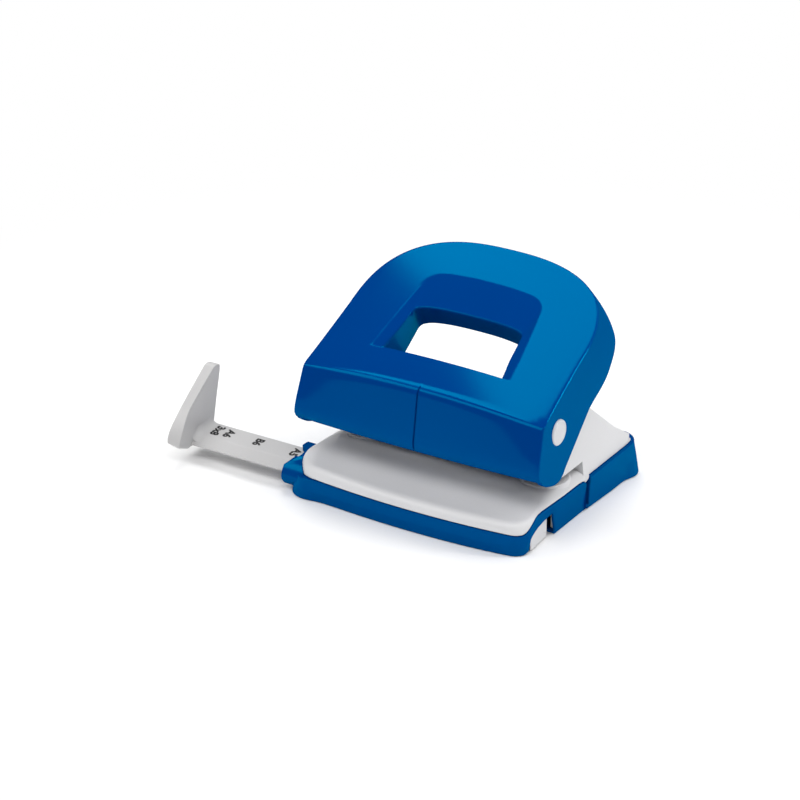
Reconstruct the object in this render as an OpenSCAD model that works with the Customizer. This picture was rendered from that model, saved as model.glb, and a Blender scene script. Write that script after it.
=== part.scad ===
// Two-hole paper punch with a hinged chip tray and a sliding paper guide.
// X runs along the punch, Y to the back and Z up. The origin is on the
// table, midway between the two pins. All sizes are in millimetres.

/* [Punching] */
// Distance between the two punched holes
hole_spacing = 80; // [76:1:81]
// Diameter of a punch pin
pin_d = 5.5; // [4.5:0.1:6]
// Travel of the pins
pin_stroke = 6; // [5.6:0.1:6.4]
// Distance from the hole centres to the edge of the paper
hole_inset = 12; // [10:0.5:13]
// Height of the slot that takes the paper
throat_h = 3.5; // [2.5:0.1:3.8]
// Length of the steel guide above the slot
guide_len = 13; // [12:0.5:14]

/* [Base] */
// Distance from each pin to the side of the chip tray
side_margin = 11.5; // [11:0.5:13]
// Distance from the punch line to the front of the tray
tray_front = 38; // [37:0.5:42]
// Distance from the punch line to the back of the tray
tray_back = 58; // [55:0.5:60]
// Corner radius of the tray in plan
corner_r = 8; // [6:0.5:9]
// Bow of the front edge
front_bow = 3.6; // [2:0.2:4]
// Wall thickness of the tray
tray_wall = 1.8; // [1.4:0.1:2]
// Floor thickness of the tray
tray_floor = 1.5; // [1.2:0.1:2]
// Height of the tray's front wall
tray_front_h = 9; // [8:0.5:10]
// Height of the tray's side walls beside the nose
tray_side_h = 14.8; // [14:0.1:14.8]
// Drop of the side wall from the nose to the latch slit
tray_side_drop = 1; // [0.6:0.1:2]
// How far the rear part of the tray stands proud of the front part
rear_proud = 0.6; // [0.3:0.1:1]
// Height of the deck above the table
deck_h = 17.4; // [17:0.1:18]
// Radius of the rounded rim round the deck
deck_round = 4; // [3:0.5:4.5]
// Wall thickness of the housing
housing_wall = 2; // [1.6:0.1:2.4]
// Radius of the round pads under the pins
pad_r = 11.2; // [9:0.2:12]
// Height of the round pads
pad_h = 0.8; // [0.5:0.1:1]

/* [Tower] */
// Height of the knee in the tower's back slope
knee_h = 25.6; // [24:0.2:27]
// Distance of that knee behind the punch line
knee_y = 38.5; // [36:0.5:40]
// Height of the top of the back slope
ridge_h = 40.5; // [39:0.2:41]
// Distance of the top of the back slope behind the punch line
ridge_y = 21; // [19:0.5:23]
// Side draft of the tower, sideways run for each unit of height
tower_draft = 0.12; // [0.06:0.01:0.13]

/* [Pivot and levers] */
// Height of the handle's axle
pivot_h = 47; // [46.5:0.1:48]
// Distance from the axle to the pins
lever_arm = 15.7; // [15:0.1:16.5]
// Diameter of the axle
axle_d = 5; // [4:0.1:5.4]
// Diameter of the caps on the axle's ends
cap_d = 10.4; // [9.6:0.1:11.4]
// Radius of the bosses on the ears
ear_boss_r = 7; // [6.2:0.1:7.4]
// Width of a steel press lever
lever_w = 8; // [6:0.5:8.5]
// Radius of the nose that pushes the pin
nose_r = 3; // [2.6:0.1:3.2]
// Diameter of the screws
screw_d = 3; // [2.6:0.1:3.4]
// Length of the screws that hold the levers to the handle
lever_screw_len = 5; // [4:0.5:6]

/* [Handle] */
// How far the handle stands out beyond each side of the tray
handle_over = 3; // [2.8:0.1:4]
// Length of the handle along its slope
handle_len = 76.8; // [74:0.2:80]
// Length of the handle's straight sides
side_len = 33.7; // [30:0.5:36]
// Narrowing of each side for each unit of length
side_taper = 0.05; // [0:0.01:0.06]
// Roundness of the back edge, 2 is an ellipse
back_roundness = 2.73; // [2.2:0.05:3.2]
// Slope of the handle in degrees
handle_slope = 25.5; // [24:0.1:27]
// Depth of the handle's rim
handle_depth = 21.5; // [20:0.5:23]
// Crown of the handle's top across its width
handle_crown = 3.5; // [2.5:0.1:4]
// Wall thickness of the handle
handle_wall = 2.2; // [1.8:0.1:2.6]
// Distance of the crease in front of the axle
crease_ahead = 10.8; // [10.4:0.1:11.4]
// Height of the crease above the axle
crease_above = 6.3; // [6:0.1:7]
// Width of the finger window at its front edge
window_w = 52.8; // [48:0.2:56]
// Length of the finger window
window_len = 25.5; // [24:0.5:28]
// Distance from the crease to the window
window_at = 15.5; // [14.5:0.5:17]
// Depth of the collar round the window at its front
window_depth = 13.5; // [11:0.5:13.5]
// Rise of the collar's lower edge towards the back in degrees
collar_rise = 14; // [6:1:15]
// Length of the sloped finger rest behind the window
rest_len = 17; // [12:0.5:18]
// Depth of the finger rest
rest_depth = 1.8; // [1:0.1:2.4]

/* [Paper guide] */
// Distance from the middle of the punch to the end stop
stop_at = 105; // [104:0.5:106]
// Width of the sliding rail
rail_w = 15; // [14:0.5:15.5]
// Thickness of the rail
rail_h = 4.5; // [4:0.1:4.8]
// Height of the underside of the rail
rail_z = 6.5; // [6:0.1:6.8]
// Distance of the rail's back edge in front of the punch line
rail_back = 17; // [16.5:0.1:17.5]
// Length of the rail inside the end stop
rail_len = 113; // [108:1:114]
// Thickness of the end stop
stop_t = 4.7; // [3.5:0.1:5.5]
// Height of the top of the end stop
stop_h = 35.2; // [32:0.2:37]
// How far the end stop reaches in front of the rail
stop_reach = 9.8; // [8:0.2:10.4]
// Length of the collar that carries the rail
collar_len = 8; // [7:0.5:10]

/* [Fits] */
// Gap between parts that slide or part from each other
slide_gap = 0.3; // [0.25:0.05:0.35]
// Gap round a turning shaft, on the radius
run_gap = 0.05; // [0.03:0.01:0.08]
// Gap between the press lever and the pin at rest
nose_gap = 0.15; // [0.1:0.05:0.2]

/* [Hidden] */

$fn = 64;
eps = 0.01;
far = 400;

blue = [0.01, 0.35, 0.66];
light_grey = [0.86, 0.86, 0.87];
steel = [0.66, 0.67, 0.69];

// Punch line
pin_x = hole_spacing / 2;
pad_z = deck_h + pad_h;
throat_z = pad_z + throat_h;
seat_z = throat_z + guide_len;
pin_hidden = 0.6;
pin_bottom = throat_z + pin_hidden;
pin_head_d = pin_d + 3.5;
pin_head_h = 2;
guide_bush_d = pin_d + 4;
guide_flange_d = pin_d + 6;
guide_flange_h = 1.2;
die_bush_d = pin_d + 6.5;
die_bush_h = 4.4;
die_plate_t = 1.6;
die_plate_half_y = 8;
die_plate_half_x = pin_x + 6.5;
die_screw_x = 20;
column_r = pin_d / 2 + 6.2;

// Pivot
lever_head_h = 6.4;
pivot_y = -lever_arm;
half_swing = asin(pin_stroke / 2 / lever_arm);
nose_y = pivot_y + lever_arm * cos(half_swing);
nose_z = pivot_h + pin_stroke / 2;
pin_top = nose_z - nose_r - nose_gap;
spring_wire = 0.7;
spring_d = pin_d + 3.2;
spring_turns = 4.5;

// Base outlines
tray_w = hole_spacing + 2 * side_margin;
housing_gap = 0.3;
skirt_gap = 1;
slit_y = 13;
slit_w = 2;
slit_bottom = 2.6;
nose_start = -tray_front + 3;
nose_end = nose_start + 7;
rear_step = 0.5;
rear_rise = 0.3;
skirt_bottom = tray_floor + 0.3;
lug_r = 2.2;
hinge_x = -tray_w / 2 + 0.2;
hinge_z = tray_side_h + 0.2;
hinge_pin_d = 2;
hinge_span = [20, 50];
hinge_knuckle = 6;
notch_front = -29.4;
notch_back = -11;
notch_h = 9.6;
notch_depth = 4;

// Tower
tower_half = tray_w / 2 - housing_gap;
ear_in = pin_x + lever_w / 2 + 0.6;
tower_front = -6;
tower_top = seat_z - guide_flange_h;
boss_gap = 0.25;

// Handle
crease_y = pivot_y - crease_ahead;
crease_z = pivot_h + crease_above;
handle_half = tray_w / 2 + handle_over;
back_half = handle_half - side_taper * side_len;
crown_r = (pow(handle_half, 2) + pow(handle_crown, 2)) / (2 * handle_crown);
cheek_r = 7;
cheek_y = pivot_y - 1.25;
cheek_z = pivot_h - 14.4;
skirt_lean = 5.8;
groove_w = 0.8;
groove_depth = 0.8;
window_r = 5;
rest_side = 7.5;
cap_t = 2.6;
cap_proud = 0.5;

// Paper guide
rail_front = -rail_back - rail_w;
rail_crease = 0.66;
rail_top = rail_z + rail_h;
guide_inner_end = -stop_at + rail_len;
collar_wall = 2.2;
collar_left = -tray_w / 2 - collar_len;
collar_bottom = 2;
collar_foot_r = 3;
thumb_r = 7.5;
thumb_out = 3.4;
thumb_y = (rail_front - rail_back) / 2 - 1.8;
stop_bottom = rail_z - 2;
rib_t = 1.2;
rib_end = guide_inner_end - 3;
// Half the length of the paper edge for each stop setting: A4, A5, B6, A6 and 3x80
settings = [148.5, 105, 88, 74, 68.5];
click_x = -tray_w / 2 + 13.5;
click_half = 8;
click_foot = 2.5;
click_gap = 0.15;

// Smooth step between 0 and 1
function ease(t) = t <= 0 ? 0 : t >= 1 ? 1 : (1 - cos(180 * t)) / 2;

// Height of the parting line between tray and housing in front of the slit
function part_line(y) = tray_front_h
    + (tray_side_h - tray_front_h) * ease((y - nose_start) / (nose_end - nose_start))
    - tray_side_drop * max(0, y - nose_end) / (slit_y - nose_end);

// Height of the parting line behind the slit
function rear_line(y) = part_line(slit_y) + rear_step
    + (rear_rise + rear_step) * pow(max(0, y - slit_y) / (tray_back - slit_y), 3)
    - rear_step * (y - slit_y) / (tray_back - slit_y);

// Points of the parting line from the front to the back, raised by lift
function part_points(lift, from, to, steps) =
    [for (i = [0:steps]) let (y = from + (to - from) * i / steps) [y, part_line(y) + lift]];
function rear_points(lift, from, to, steps) =
    [for (i = [0:steps]) let (y = from + (to - from) * i / steps) [y, rear_line(y) + lift]];

// Half width of the handle at a distance v behind the crease
function handle_side(v, len, half_front, half_back) =
    v <= side_len ? half_front + (half_back - half_front) * v / side_len
    : half_back * pow(max(0, 1 - pow((v - side_len) / (len - side_len), back_roundness)),
                      1 / back_roundness);

// Where a line from p touches the circle of radius r round c, on the left seen from c for side 1
function touch_point(c, r, p, side) =
    let (d = p - c, a = atan2(d.y, d.x) + side * acos(r / norm(d))) c + r * [cos(a), sin(a)];

// Plan of the base, drawn in by inset: square sides, a bowed front and round corners
module base_plan(inset, grow_rear = 0) {
    half = tray_w / 2 + grow_rear - inset;
    r = corner_r - inset;
    bow_r = (pow(tray_w / 2, 2) + pow(front_bow, 2)) / (2 * front_bow);
    bow_y = bow_r - tray_front;
    corner_x = half - r;
    corner_y = bow_y - sqrt(pow(bow_r - inset - r, 2) - pow(corner_x, 2));
    touch_x = corner_x * (bow_r - inset) / (bow_r - inset - r);
    back = tray_back + grow_rear - inset;
    intersection() {
        translate([0, bow_y]) circle(bow_r - inset, $fn = 512);
        translate([-touch_x, -tray_front]) square([2 * touch_x, corner_y + tray_front + r / 2]);
    }
    translate([-half, corner_y]) square([2 * half, back - r - corner_y]);
    translate([-corner_x, corner_y]) square([2 * corner_x, back - corner_y]);
    for (x = [-corner_x, corner_x], y = [corner_y, back - r])
        translate([x, y]) circle(r);
}

// A solid whose side view is the child outline, drawn as [y, z]
module side_view(from, to) {
    translate([from, 0, 0]) rotate([90, 0, 90]) linear_extrude(to - from) children();
}

// A round bar along X
module bar_x(from, to, d, y, z) {
    translate([from, y, z]) rotate([0, 90, 0]) cylinder(h = to - from, d = d);
}

// A round bar along Y
module bar_y(from, to, d, x, z) {
    translate([x, from, z]) rotate([-90, 0, 0]) cylinder(h = to - from, d = d);
}

// The frame that lies in the handle's top, with its origin on the crease
module on_plate() {
    translate([0, crease_y, crease_z]) rotate([handle_slope, 0, 0]) children();
}

// Both halves of a mirrored pair
module both_sides() {
    children();
    mirror([1, 0, 0]) children();
}

// ---- Chip tray ----------------------------------------------------------

module tray_shell() {
    difference() {
        union() {
            intersection() {
                linear_extrude(far) base_plan(0);
                side_view(-far, far) polygon(concat(
                    [[-tray_front - 5, 0], [-tray_front - 5, tray_front_h]],
                    part_points(0, nose_start, nose_end, 8),
                    [[slit_y, part_line(slit_y)], [slit_y, 0]]));
            }
            intersection() {
                linear_extrude(far) base_plan(0, rear_proud);
                side_view(-far, far) polygon(concat(
                    [[slit_y, 0]], rear_points(0, slit_y, tray_back + 5, 8),
                    [[tray_back + 5, 0]]));
            }
        }
        translate([0, 0, tray_floor]) linear_extrude(far) base_plan(tray_wall);
    }
}

module collar_block() {
    y0 = rail_front - slide_gap - collar_wall;
    y1 = -rail_back + slide_gap + collar_wall;
    z1 = rail_z + rail_h + slide_gap + collar_wall;
    r = collar_foot_r;
    side_view(collar_left, -tray_w / 2 + eps) {
        polygon([
            [y0 + r, collar_bottom], [y0, collar_bottom + r], [y0, rail_z + 1.5],
            [y0 + 1.2, rail_z + 3.8], [y0 + rail_w * (1 - rail_crease), z1 - 1],
            [y1 - 1, z1], [y1, z1 - 1], [y1, collar_bottom]]);
        translate([y0 + r, collar_bottom + r]) circle(r);
    }
}

module rail_outline(grow) {
    polygon([[rail_front - grow, rail_z - grow], [rail_front - grow, rail_z + 0.8],
             [rail_front + rail_w * (1 - rail_crease), rail_z + rail_h - 0.8 + grow],
             [-rail_back + grow, rail_z + rail_h + grow], [-rail_back + grow, rail_z - grow]]);
}

module notch_outline() {
    reach = notch_back - notch_front;
    translate([notch_front, -1]) square([reach, notch_h - 3.2]);
    translate([notch_front + 8, -1]) square([reach - 8, notch_h + 1]);
    translate([notch_front + 8, notch_h - 8]) circle(8);
}

module hinge_knuckles(tray_side, grow) {
    a = hinge_span[0];
    b = hinge_span[1];
    spans = tray_side ? [[a, a + hinge_knuckle], [b - hinge_knuckle, b]]
                      : [[a + hinge_knuckle, b - hinge_knuckle]];
    gap = slide_gap / 2;
    for (s = spans)
        bar_y(s[0] + (tray_side || grow > 0 ? -grow : gap), s[1] + (tray_side || grow > 0 ? grow : -gap),
              2 * (lug_r + grow), hinge_x, hinge_z);
}

module tray_ribs() {
    for (y = [rail_front - slide_gap - rib_t, -rail_back + slide_gap])
        translate([-tray_w / 2 + tray_wall - eps, y, tray_floor - eps])
            cube([rib_end + tray_w / 2 - tray_wall, rib_t, rail_z + 1 - tray_floor]);
    for (x = [-tray_w / 2 + tray_wall - eps, rib_end - rib_t])
        translate([x, rail_front - slide_gap, tray_floor - eps])
            cube([rib_t, rail_w + 2 * slide_gap, rail_z - slide_gap - tray_floor]);
}

module chip_tray() {
    color(blue) difference() {
        union() {
            difference() {
                union() {
                    tray_shell();
                    collar_block();
                }
                // way for the rail through the collar and the wall
                side_view(collar_left - 1, -tray_w / 2 + corner_r) rail_outline(slide_gap);
                // thumb crescent that bares the scale on the rail
                translate([collar_left - thumb_out, thumb_y, rail_z + rail_h])
                    cylinder(h = 10, r = thumb_r);
            }
            tray_ribs();
            hinge_knuckles(true, 0);
            for (y = [hinge_span[0], hinge_span[1] - hinge_knuckle])
                translate([-tray_w / 2, y, part_line(slit_y) - 2])
                    cube([tray_wall, hinge_knuckle, hinge_z - part_line(slit_y) + 2]);
        }
        // pin bore and room for the housing's knuckle
        bar_y(hinge_span[0] - 1, hinge_span[1] + 1, hinge_pin_d, hinge_x, hinge_z);
        hinge_knuckles(false, slide_gap);
        // finger notch and the slits beside the latch
        side_view(tray_w / 2 - notch_depth, far) notch_outline();
        for (x = [-1, 1])
            translate([x * tray_w / 2 - 2.5, slit_y, slit_bottom]) cube([5, slit_w, far]);
    }
}

module tray_hinge_pin() {
    color(steel) bar_y(hinge_span[0], hinge_span[1], hinge_pin_d, hinge_x, hinge_z);
}

// Bent leaf that clicks into the rail's underside
module guide_click_spring() {
    mid_y = (rail_front - rail_back) / 2;
    leaf = 0.4;
    width = 6;
    span = click_half;
    rise = rail_z - tray_floor - click_gap;
    arc_r = (pow(span, 2) + pow(rise, 2)) / (2 * rise);
    color(steel) translate([click_x, mid_y + width / 2, tray_floor]) rotate([90, 0, 0])
        linear_extrude(width) {
            intersection() {
                translate([0, rise - arc_r]) difference() {
                    circle(arc_r, $fn = 96);
                    circle(arc_r - leaf, $fn = 96);
                }
                translate([-span, 0]) square([2 * span, rise + 1]);
            }
            for (s = [-1, 1])
                translate([s * span - click_foot, 0]) square([2 * click_foot, leaf]);
        }
}

// ---- Housing ------------------------------------------------------------

// Rounded body of the deck above the parting line
module deck_body() {
    r = deck_round;
    half = tower_half - r;
    nose_y0 = -tray_front + housing_gap + front_bow + r;
    hull() {
        for (x = [-half, half]) {
            translate([x, nose_y0 - front_bow * 0.3, tray_front_h]) sphere(r, $fn = 24);
            translate([x, nose_y0 + 3, deck_h - r - 2.4]) sphere(r, $fn = 24);
            translate([x, nose_y0 + 9, deck_h - r - 0.6]) sphere(r, $fn = 24);
            translate([x, nose_y0 + 15, deck_h - r]) sphere(r, $fn = 24);
            translate([x, tray_back - housing_gap - r, tray_front_h]) sphere(r, $fn = 24);
            translate([x, knee_y, deck_h - r]) sphere(r, $fn = 24);
        }
        for (x = [-half / 2, 0, half / 2]) {
            bow = front_bow * (1 - pow(x / tower_half, 2));
            translate([x, nose_y0 - bow, tray_front_h]) sphere(r, $fn = 24);
        }
    }
}

// Side view of the tower between the ears, drawn in by inset
module tower_outline(inset, top) {
    back = tray_back - housing_gap - inset;
    back_z = rear_line(tray_back) - 0.6;
    polygon([[tower_front + inset, throat_z - (inset > 0 ? far : 0)],
             [tower_front + inset, top - inset],
             [ridge_y + (ridge_h - top) * (knee_y - ridge_y) / (ridge_h - knee_h) - inset,
              top - inset],
             [knee_y - inset, knee_h - inset * 1.2],
             [back, back_z - inset], [back, inset > 0 ? -far : skirt_bottom],
             [hole_inset + inset, inset > 0 ? -far : skirt_bottom],
             [hole_inset + inset, throat_z - (inset > 0 ? far : 0)]]);
}

// Side view of an ear
module ear_outline() {
    foot = tower_front - 3;
    translate([pivot_y, pivot_h]) circle(ear_boss_r);
    polygon([[foot, throat_z], [pivot_y - ear_boss_r * 0.96, pivot_h - ear_boss_r * 0.28],
             [pivot_y, pivot_h], [pivot_y + ear_boss_r * 0.36, pivot_h + ear_boss_r * 0.93],
             [ridge_y, ridge_h], [knee_y, knee_h], [knee_y, throat_z]]);
}

// Slab that leans in from the side faces of the tower
module drafted_sides() {
    lean = atan(tower_draft);
    both_sides() translate([tower_half, 0, part_line(slit_y)]) rotate([0, -lean, 0])
        translate([0, -far / 2, -far / 2]) cube([far, far, far]);
}

module housing_solid() {
    difference() {
        union() {
            intersection() {
                deck_body();
                side_view(-far, far) polygon(concat(
                    [[-tray_front - 5, far], [-tray_front - 5, tray_front_h + housing_gap]],
                    part_points(housing_gap, nose_start, nose_end, 8),
                    [[slit_y, part_line(slit_y) + housing_gap]],
                    rear_points(housing_gap, slit_y, tray_back + 5, 8),
                    [[tray_back + 5, far]]));
            }
            intersection() {
                linear_extrude(far) base_plan(tray_wall + skirt_gap);
                side_view(-far, far) polygon(concat(
                    [[-tray_front, skirt_bottom]],
                    part_points(housing_gap + 1, nose_start, nose_end, 8),
                    [[slit_y, part_line(slit_y) + 2],
                     [tray_back, part_line(slit_y)], [tray_back, skirt_bottom]]));
            }
            intersection() {
                linear_extrude(far) base_plan(tray_wall + skirt_gap);
                side_view(-tower_half, tower_half) tower_outline(0, tower_top);
            }
            both_sides() side_view(ear_in, tower_half) ear_outline();
            both_sides() translate([pin_x, 0, throat_z]) cylinder(h = tower_top - throat_z, r = column_r);
            both_sides() translate([pin_x, 0, deck_h - housing_wall]) cylinder(h = pad_h + housing_wall, r = pad_r);
        }
        drafted_sides();
    }
}

module housing_hollow() {
    w = housing_wall;
    // under the deck
    intersection() {
        translate([0, 0, -far / 2]) linear_extrude(far) base_plan(tray_wall + skirt_gap + w);
        side_view(-far, far) polygon([
            [-tray_front, -1], [-tray_front, tray_front_h - 0.5], [nose_start + 3, deck_h - w - 5],
            [nose_start + 9, deck_h - w - 1.4], [nose_start + 15, deck_h - w],
            [hole_inset + w, deck_h - w], [tray_back, deck_h - w - 6], [tray_back, -1]]);
    }
    // inside the tower, between the two guide columns and behind them
    intersection() {
        side_view(-ear_in + w, ear_in - w) tower_outline(w, tower_top);
        translate([-far / 2, hole_inset + w, -1]) cube([far, far, far]);
    }
    intersection() {
        column_side = pin_x - column_r - w;
        side_view(-column_side, column_side) tower_outline(w, tower_top);
        translate([-far / 2, tower_front + w, throat_z + w]) cube([far, far, far]);
    }
}

module housing() {
    color(light_grey) difference() {
        union() {
            difference() {
                housing_solid();
                housing_hollow();
            }
            // seats for the die plate's screws
            for (x = [-1, 1])
                translate([x * die_screw_x, 0, deck_h - die_plate_t - housing_wall])
                    cylinder(h = die_plate_t + 1, r = screw_d);
            hinge_knuckles(false, 0);
        }
        // the paper slot
        translate([-far / 2, -far + hole_inset, pad_z]) cube([far, far, throat_h]);
        translate([-far / 2, -far + hole_inset, deck_h]) difference() {
            cube([far, far, throat_h]);
            for (x = [-pin_x, pin_x])
                translate([far / 2 + x, far - hole_inset, -eps]) cylinder(h = pad_h, r = pad_r);
        }
        // pins, guides and dies
        for (x = [-pin_x, pin_x]) {
            translate([x, 0, throat_z - 1]) cylinder(h = guide_len + 2, d = guide_bush_d);
            translate([x, 0, tower_top]) cylinder(h = far, d = guide_flange_d + 2 * run_gap);
            translate([x, 0, pad_z - die_bush_h]) cylinder(h = die_bush_h + 1, d = die_bush_d);
        }
        // axle
        bar_x(-far / 2, far / 2, axle_d + 2 * run_gap, pivot_y, pivot_h);
        // die screws
        for (x = [-1, 1])
            translate([x * die_screw_x, 0, 0]) cylinder(h = deck_h - 0.6, d = screw_d);
        // room for the rail and its collar
        side_view(-tower_half - 1, -tower_half + 8) polygon([
            [rail_front - collar_wall - 1, -1], [rail_front - collar_wall - 1, tray_front_h],
            [rail_front + 5, rail_top + 0.6], [-rail_back + collar_wall + 1, rail_top + 0.6],
            [-rail_back + collar_wall + 1, -1]]);
        translate([-tower_half - 1, rail_front - collar_wall - 1, -1])
            cube([1 + slide_gap, rail_w + 2 * collar_wall + 2, rail_top + collar_wall + 2]);
        for (way = [[rib_end + 1, rib_t + 0.3], [guide_inner_end + stop_at - settings[4] + 1, 0]])
            translate([-tower_half, rail_front - slide_gap - way[1], -1])
                cube([tower_half + way[0], rail_w + 2 * slide_gap + way[1] + rib_t, rail_top + 1.6]);
        hinge_knuckles(true, slide_gap);
        bar_y(hinge_span[0], hinge_span[1], hinge_pin_d + 2 * run_gap, hinge_x, hinge_z);
    }
}

// ---- Dies and guides ----------------------------------------------------

module die_plate() {
    z = deck_h - housing_wall - die_plate_t;
    color(steel) difference() {
        translate([-die_plate_half_x, -die_plate_half_y, z])
            cube([2 * die_plate_half_x, 2 * die_plate_half_y, die_plate_t]);
        for (x = [-pin_x, pin_x])
            translate([x, 0, z - 1]) cylinder(h = die_plate_t + 2, d = die_bush_d);
        for (x = [-die_screw_x, die_screw_x])
            translate([x, 0, z - 1]) cylinder(h = die_plate_t + 2, r = screw_d);
    }
}

module die_screws() {
    z = deck_h - housing_wall - die_plate_t;
    color(steel) for (x = [-die_screw_x, die_screw_x])
        difference() {
            union() {
                translate([x, 0, z - 1.6]) cylinder(h = 1.6, d = 2.6 * screw_d);
                translate([x, 0, z - 1]) cylinder(h = deck_h - 1 - z, d = screw_d);
            }
            for (a = [0, 90])
                translate([x, 0, z - 1.6]) rotate(a) cube([screw_d * 1.2, 0.6, 1.4], center = true);
        }
}

module die_bush(x) {
    color(steel) translate([x, 0, pad_z - die_bush_h]) difference() {
        cylinder(h = die_bush_h, d = die_bush_d);
        translate([0, 0, -1]) cylinder(h = die_bush_h + 2, d = pin_d + 2 * run_gap);
        translate([0, 0, -eps]) cylinder(h = die_bush_h - 2, d = pin_d + 1.2);
    }
}

module guide_bush(x) {
    color(steel) translate([x, 0, throat_z]) difference() {
        union() {
            cylinder(h = guide_len, d = guide_bush_d);
            translate([0, 0, guide_len - guide_flange_h]) cylinder(h = guide_flange_h, d = guide_flange_d);
        }
        translate([0, 0, -1]) cylinder(h = guide_len + 2, d = pin_d + 2 * run_gap);
    }
}

module die_bush_left() die_bush(-pin_x);
module die_bush_right() die_bush(pin_x);
module guide_bush_left() guide_bush(-pin_x);
module guide_bush_right() guide_bush(pin_x);

// ---- Punch pins and springs ---------------------------------------------

module punch_pin(x) {
    color(steel) difference() {
        translate([x, 0, 0]) rotate_extrude() polygon([
            [0, pin_bottom], [pin_d / 2, pin_bottom], [pin_d / 2, pin_top - pin_head_h],
            [pin_head_d / 2, pin_top - pin_head_h], [pin_head_d / 2, pin_top - 0.4],
            [pin_head_d / 2 - 0.4, pin_top], [0, pin_top]]);
        // hollow-ground cutting edge
        bar_x(x - pin_d, x + pin_d, pin_d * 1.6, 0, pin_bottom - pin_d * 0.62);
    }
}

module punch_pin_left() punch_pin(-pin_x);
module punch_pin_right() punch_pin(pin_x);

// Coil spring with its axis along Z, swept along a helix
module coil(d, wire, turns, low, high) {
    around = 8;
    steps = 14 * turns;
    r = d / 2;
    climb = high - low - wire;
    lean = atan(climb / turns / (PI * d));
    points = [for (i = [0:steps]) let (a = 360 * turns * i / steps, z = low + wire / 2 + climb * i / steps)
        for (j = [0:around - 1]) let (b = 360 * j / around, out = wire / 2 * cos(b), up = wire / 2 * sin(b))
            [(r + out) * cos(a) + up * sin(lean) * sin(a),
             (r + out) * sin(a) - up * sin(lean) * cos(a), z + up * cos(lean)]];
    sides = [for (i = [0:steps - 1], j = [0:around - 1])
        let (k = (j + 1) % around)
        [i * around + k, (i + 1) * around + k, (i + 1) * around + j, i * around + j]];
    ends = [[for (j = [around - 1:-1:0]) j], [for (j = [0:around - 1]) steps * around + j]];
    polyhedron(points, concat(sides, ends));
}

module return_spring(x) {
    color(steel) translate([x, 0, 0])
        coil(spring_d - spring_wire, spring_wire, spring_turns, seat_z + 0.25, pin_top - pin_head_h - 0.25);
}

module return_spring_left() return_spring(-pin_x);
module return_spring_right() return_spring(pin_x);

// ---- Handle -------------------------------------------------------------

// Plan of the handle in its own top, drawn in by inset
module handle_plan(inset) {
    steps = 22;
    half = handle_half - inset;
    half_back = back_half - inset;
    len = handle_len - inset;
    right = [for (i = [0:steps]) let (t = 1 - pow(1 - i / steps, 2), v = side_len + (len - side_len) * t)
        [handle_side(v, len, half, half_back), v]];
    left = [for (i = [steps - 1:-1:0]) [-right[i].x, right[i].y]];
    polygon(concat([[half + 1.25, -18]], right, left, [[-half - 1.25, -18]]));
}

// Side view of the handle with its skirt and cheeks, drawn in by inset
module handle_profile(inset) {
    dir_y = cos(handle_slope);
    dir_z = sin(handle_slope);
    rim_y = crease_y + handle_depth * dir_z;
    rim_z = crease_z - handle_depth * dir_y;
    front = crease_y - skirt_lean + inset;
    rise = 18;
    polygon([
        [front + 5, crease_z + 8], [front + 4.9, crease_z + 4.4], [front + 4.1, crease_z],
        [front + 3.3, crease_z - 3.3], [front + 2.1, crease_z - 8], [front + 1, crease_z - 12.8],
        [front + 0.1, crease_z - 17], [front, crease_z - 19],
        [inset > 0 ? front : front + 0.5, inset > 0 ? -far : crease_z - 20.2],
        [inset > 0 ? far : front + 1.5, inset > 0 ? -far : crease_z - 21.4],
        [inset > 0 ? far : front + 3.7, inset > 0 ? -far : crease_z - 23.2],
        [inset > 0 ? far : front + 6.9, inset > 0 ? -far : crease_z - 25.3],
        [inset > 0 ? far : front + 9.9, inset > 0 ? -far : crease_z - 26.5],
        [inset > 0 ? far : front + 12.8, inset > 0 ? -far : crease_z - 27.35],
        [inset > 0 ? far : cheek_y + cheek_r * 0.69, inset > 0 ? -far : cheek_z - cheek_r * 0.72],
        [inset > 0 ? far : rim_y + dir_y * 27, inset > 0 ? -far : rim_z + dir_z * 27],
        [rim_y + dir_y * far, inset > 0 ? -far : rim_z + dir_z * far],
        [rim_y + dir_y * far, rim_z + dir_z * far + 200],
        [crease_y + 60, crease_z + 60 + rise], [crease_y + inset + 6, crease_z + rise]]);
    if (inset == 0) translate([cheek_y, cheek_z]) circle(cheek_r);
}

// Everything under the crowned top, drawn in by inset
module under_crown(inset) {
    on_plate() translate([0, -far / 2, handle_crown - crown_r]) rotate([-90, 0, 0])
        cylinder(h = far, r = crown_r - inset, $fn = 256);
}

// Outline round the finger window in the handle's top, from its front to its back edge
module window_outline(front_half, back_half_w, back, r) {
    slant = (front_half - back_half_w) / (back - window_at);
    polygon([[-front_half, window_at], [front_half, window_at],
             [back_half_w + slant * r, back - r], [-back_half_w - slant * r, back - r]]);
    translate([-back_half_w + r, back - 2 * r]) square([2 * (back_half_w - r), 2 * r]);
    for (x = [-1, 1]) translate([x * (back_half_w - r), back - r]) circle(r);
}

// Opening of the finger window, drawn out by grow
module window_plan(grow) {
    translate([0, -grow]) window_outline(window_w / 2 + grow, window_w / 2 - 2.2 + grow,
                                         window_at + window_len + 2 * grow, window_r + grow);
}

// Outer edge of the finger rest, drawn out by grow
module rest_plan(grow) {
    translate([0, -grow]) window_outline(window_w / 2 + rest_side + grow, window_w / 2 + 0.8 + grow,
                                         window_at + window_len + rest_len + 2 * grow, window_r + grow);
}

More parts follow.
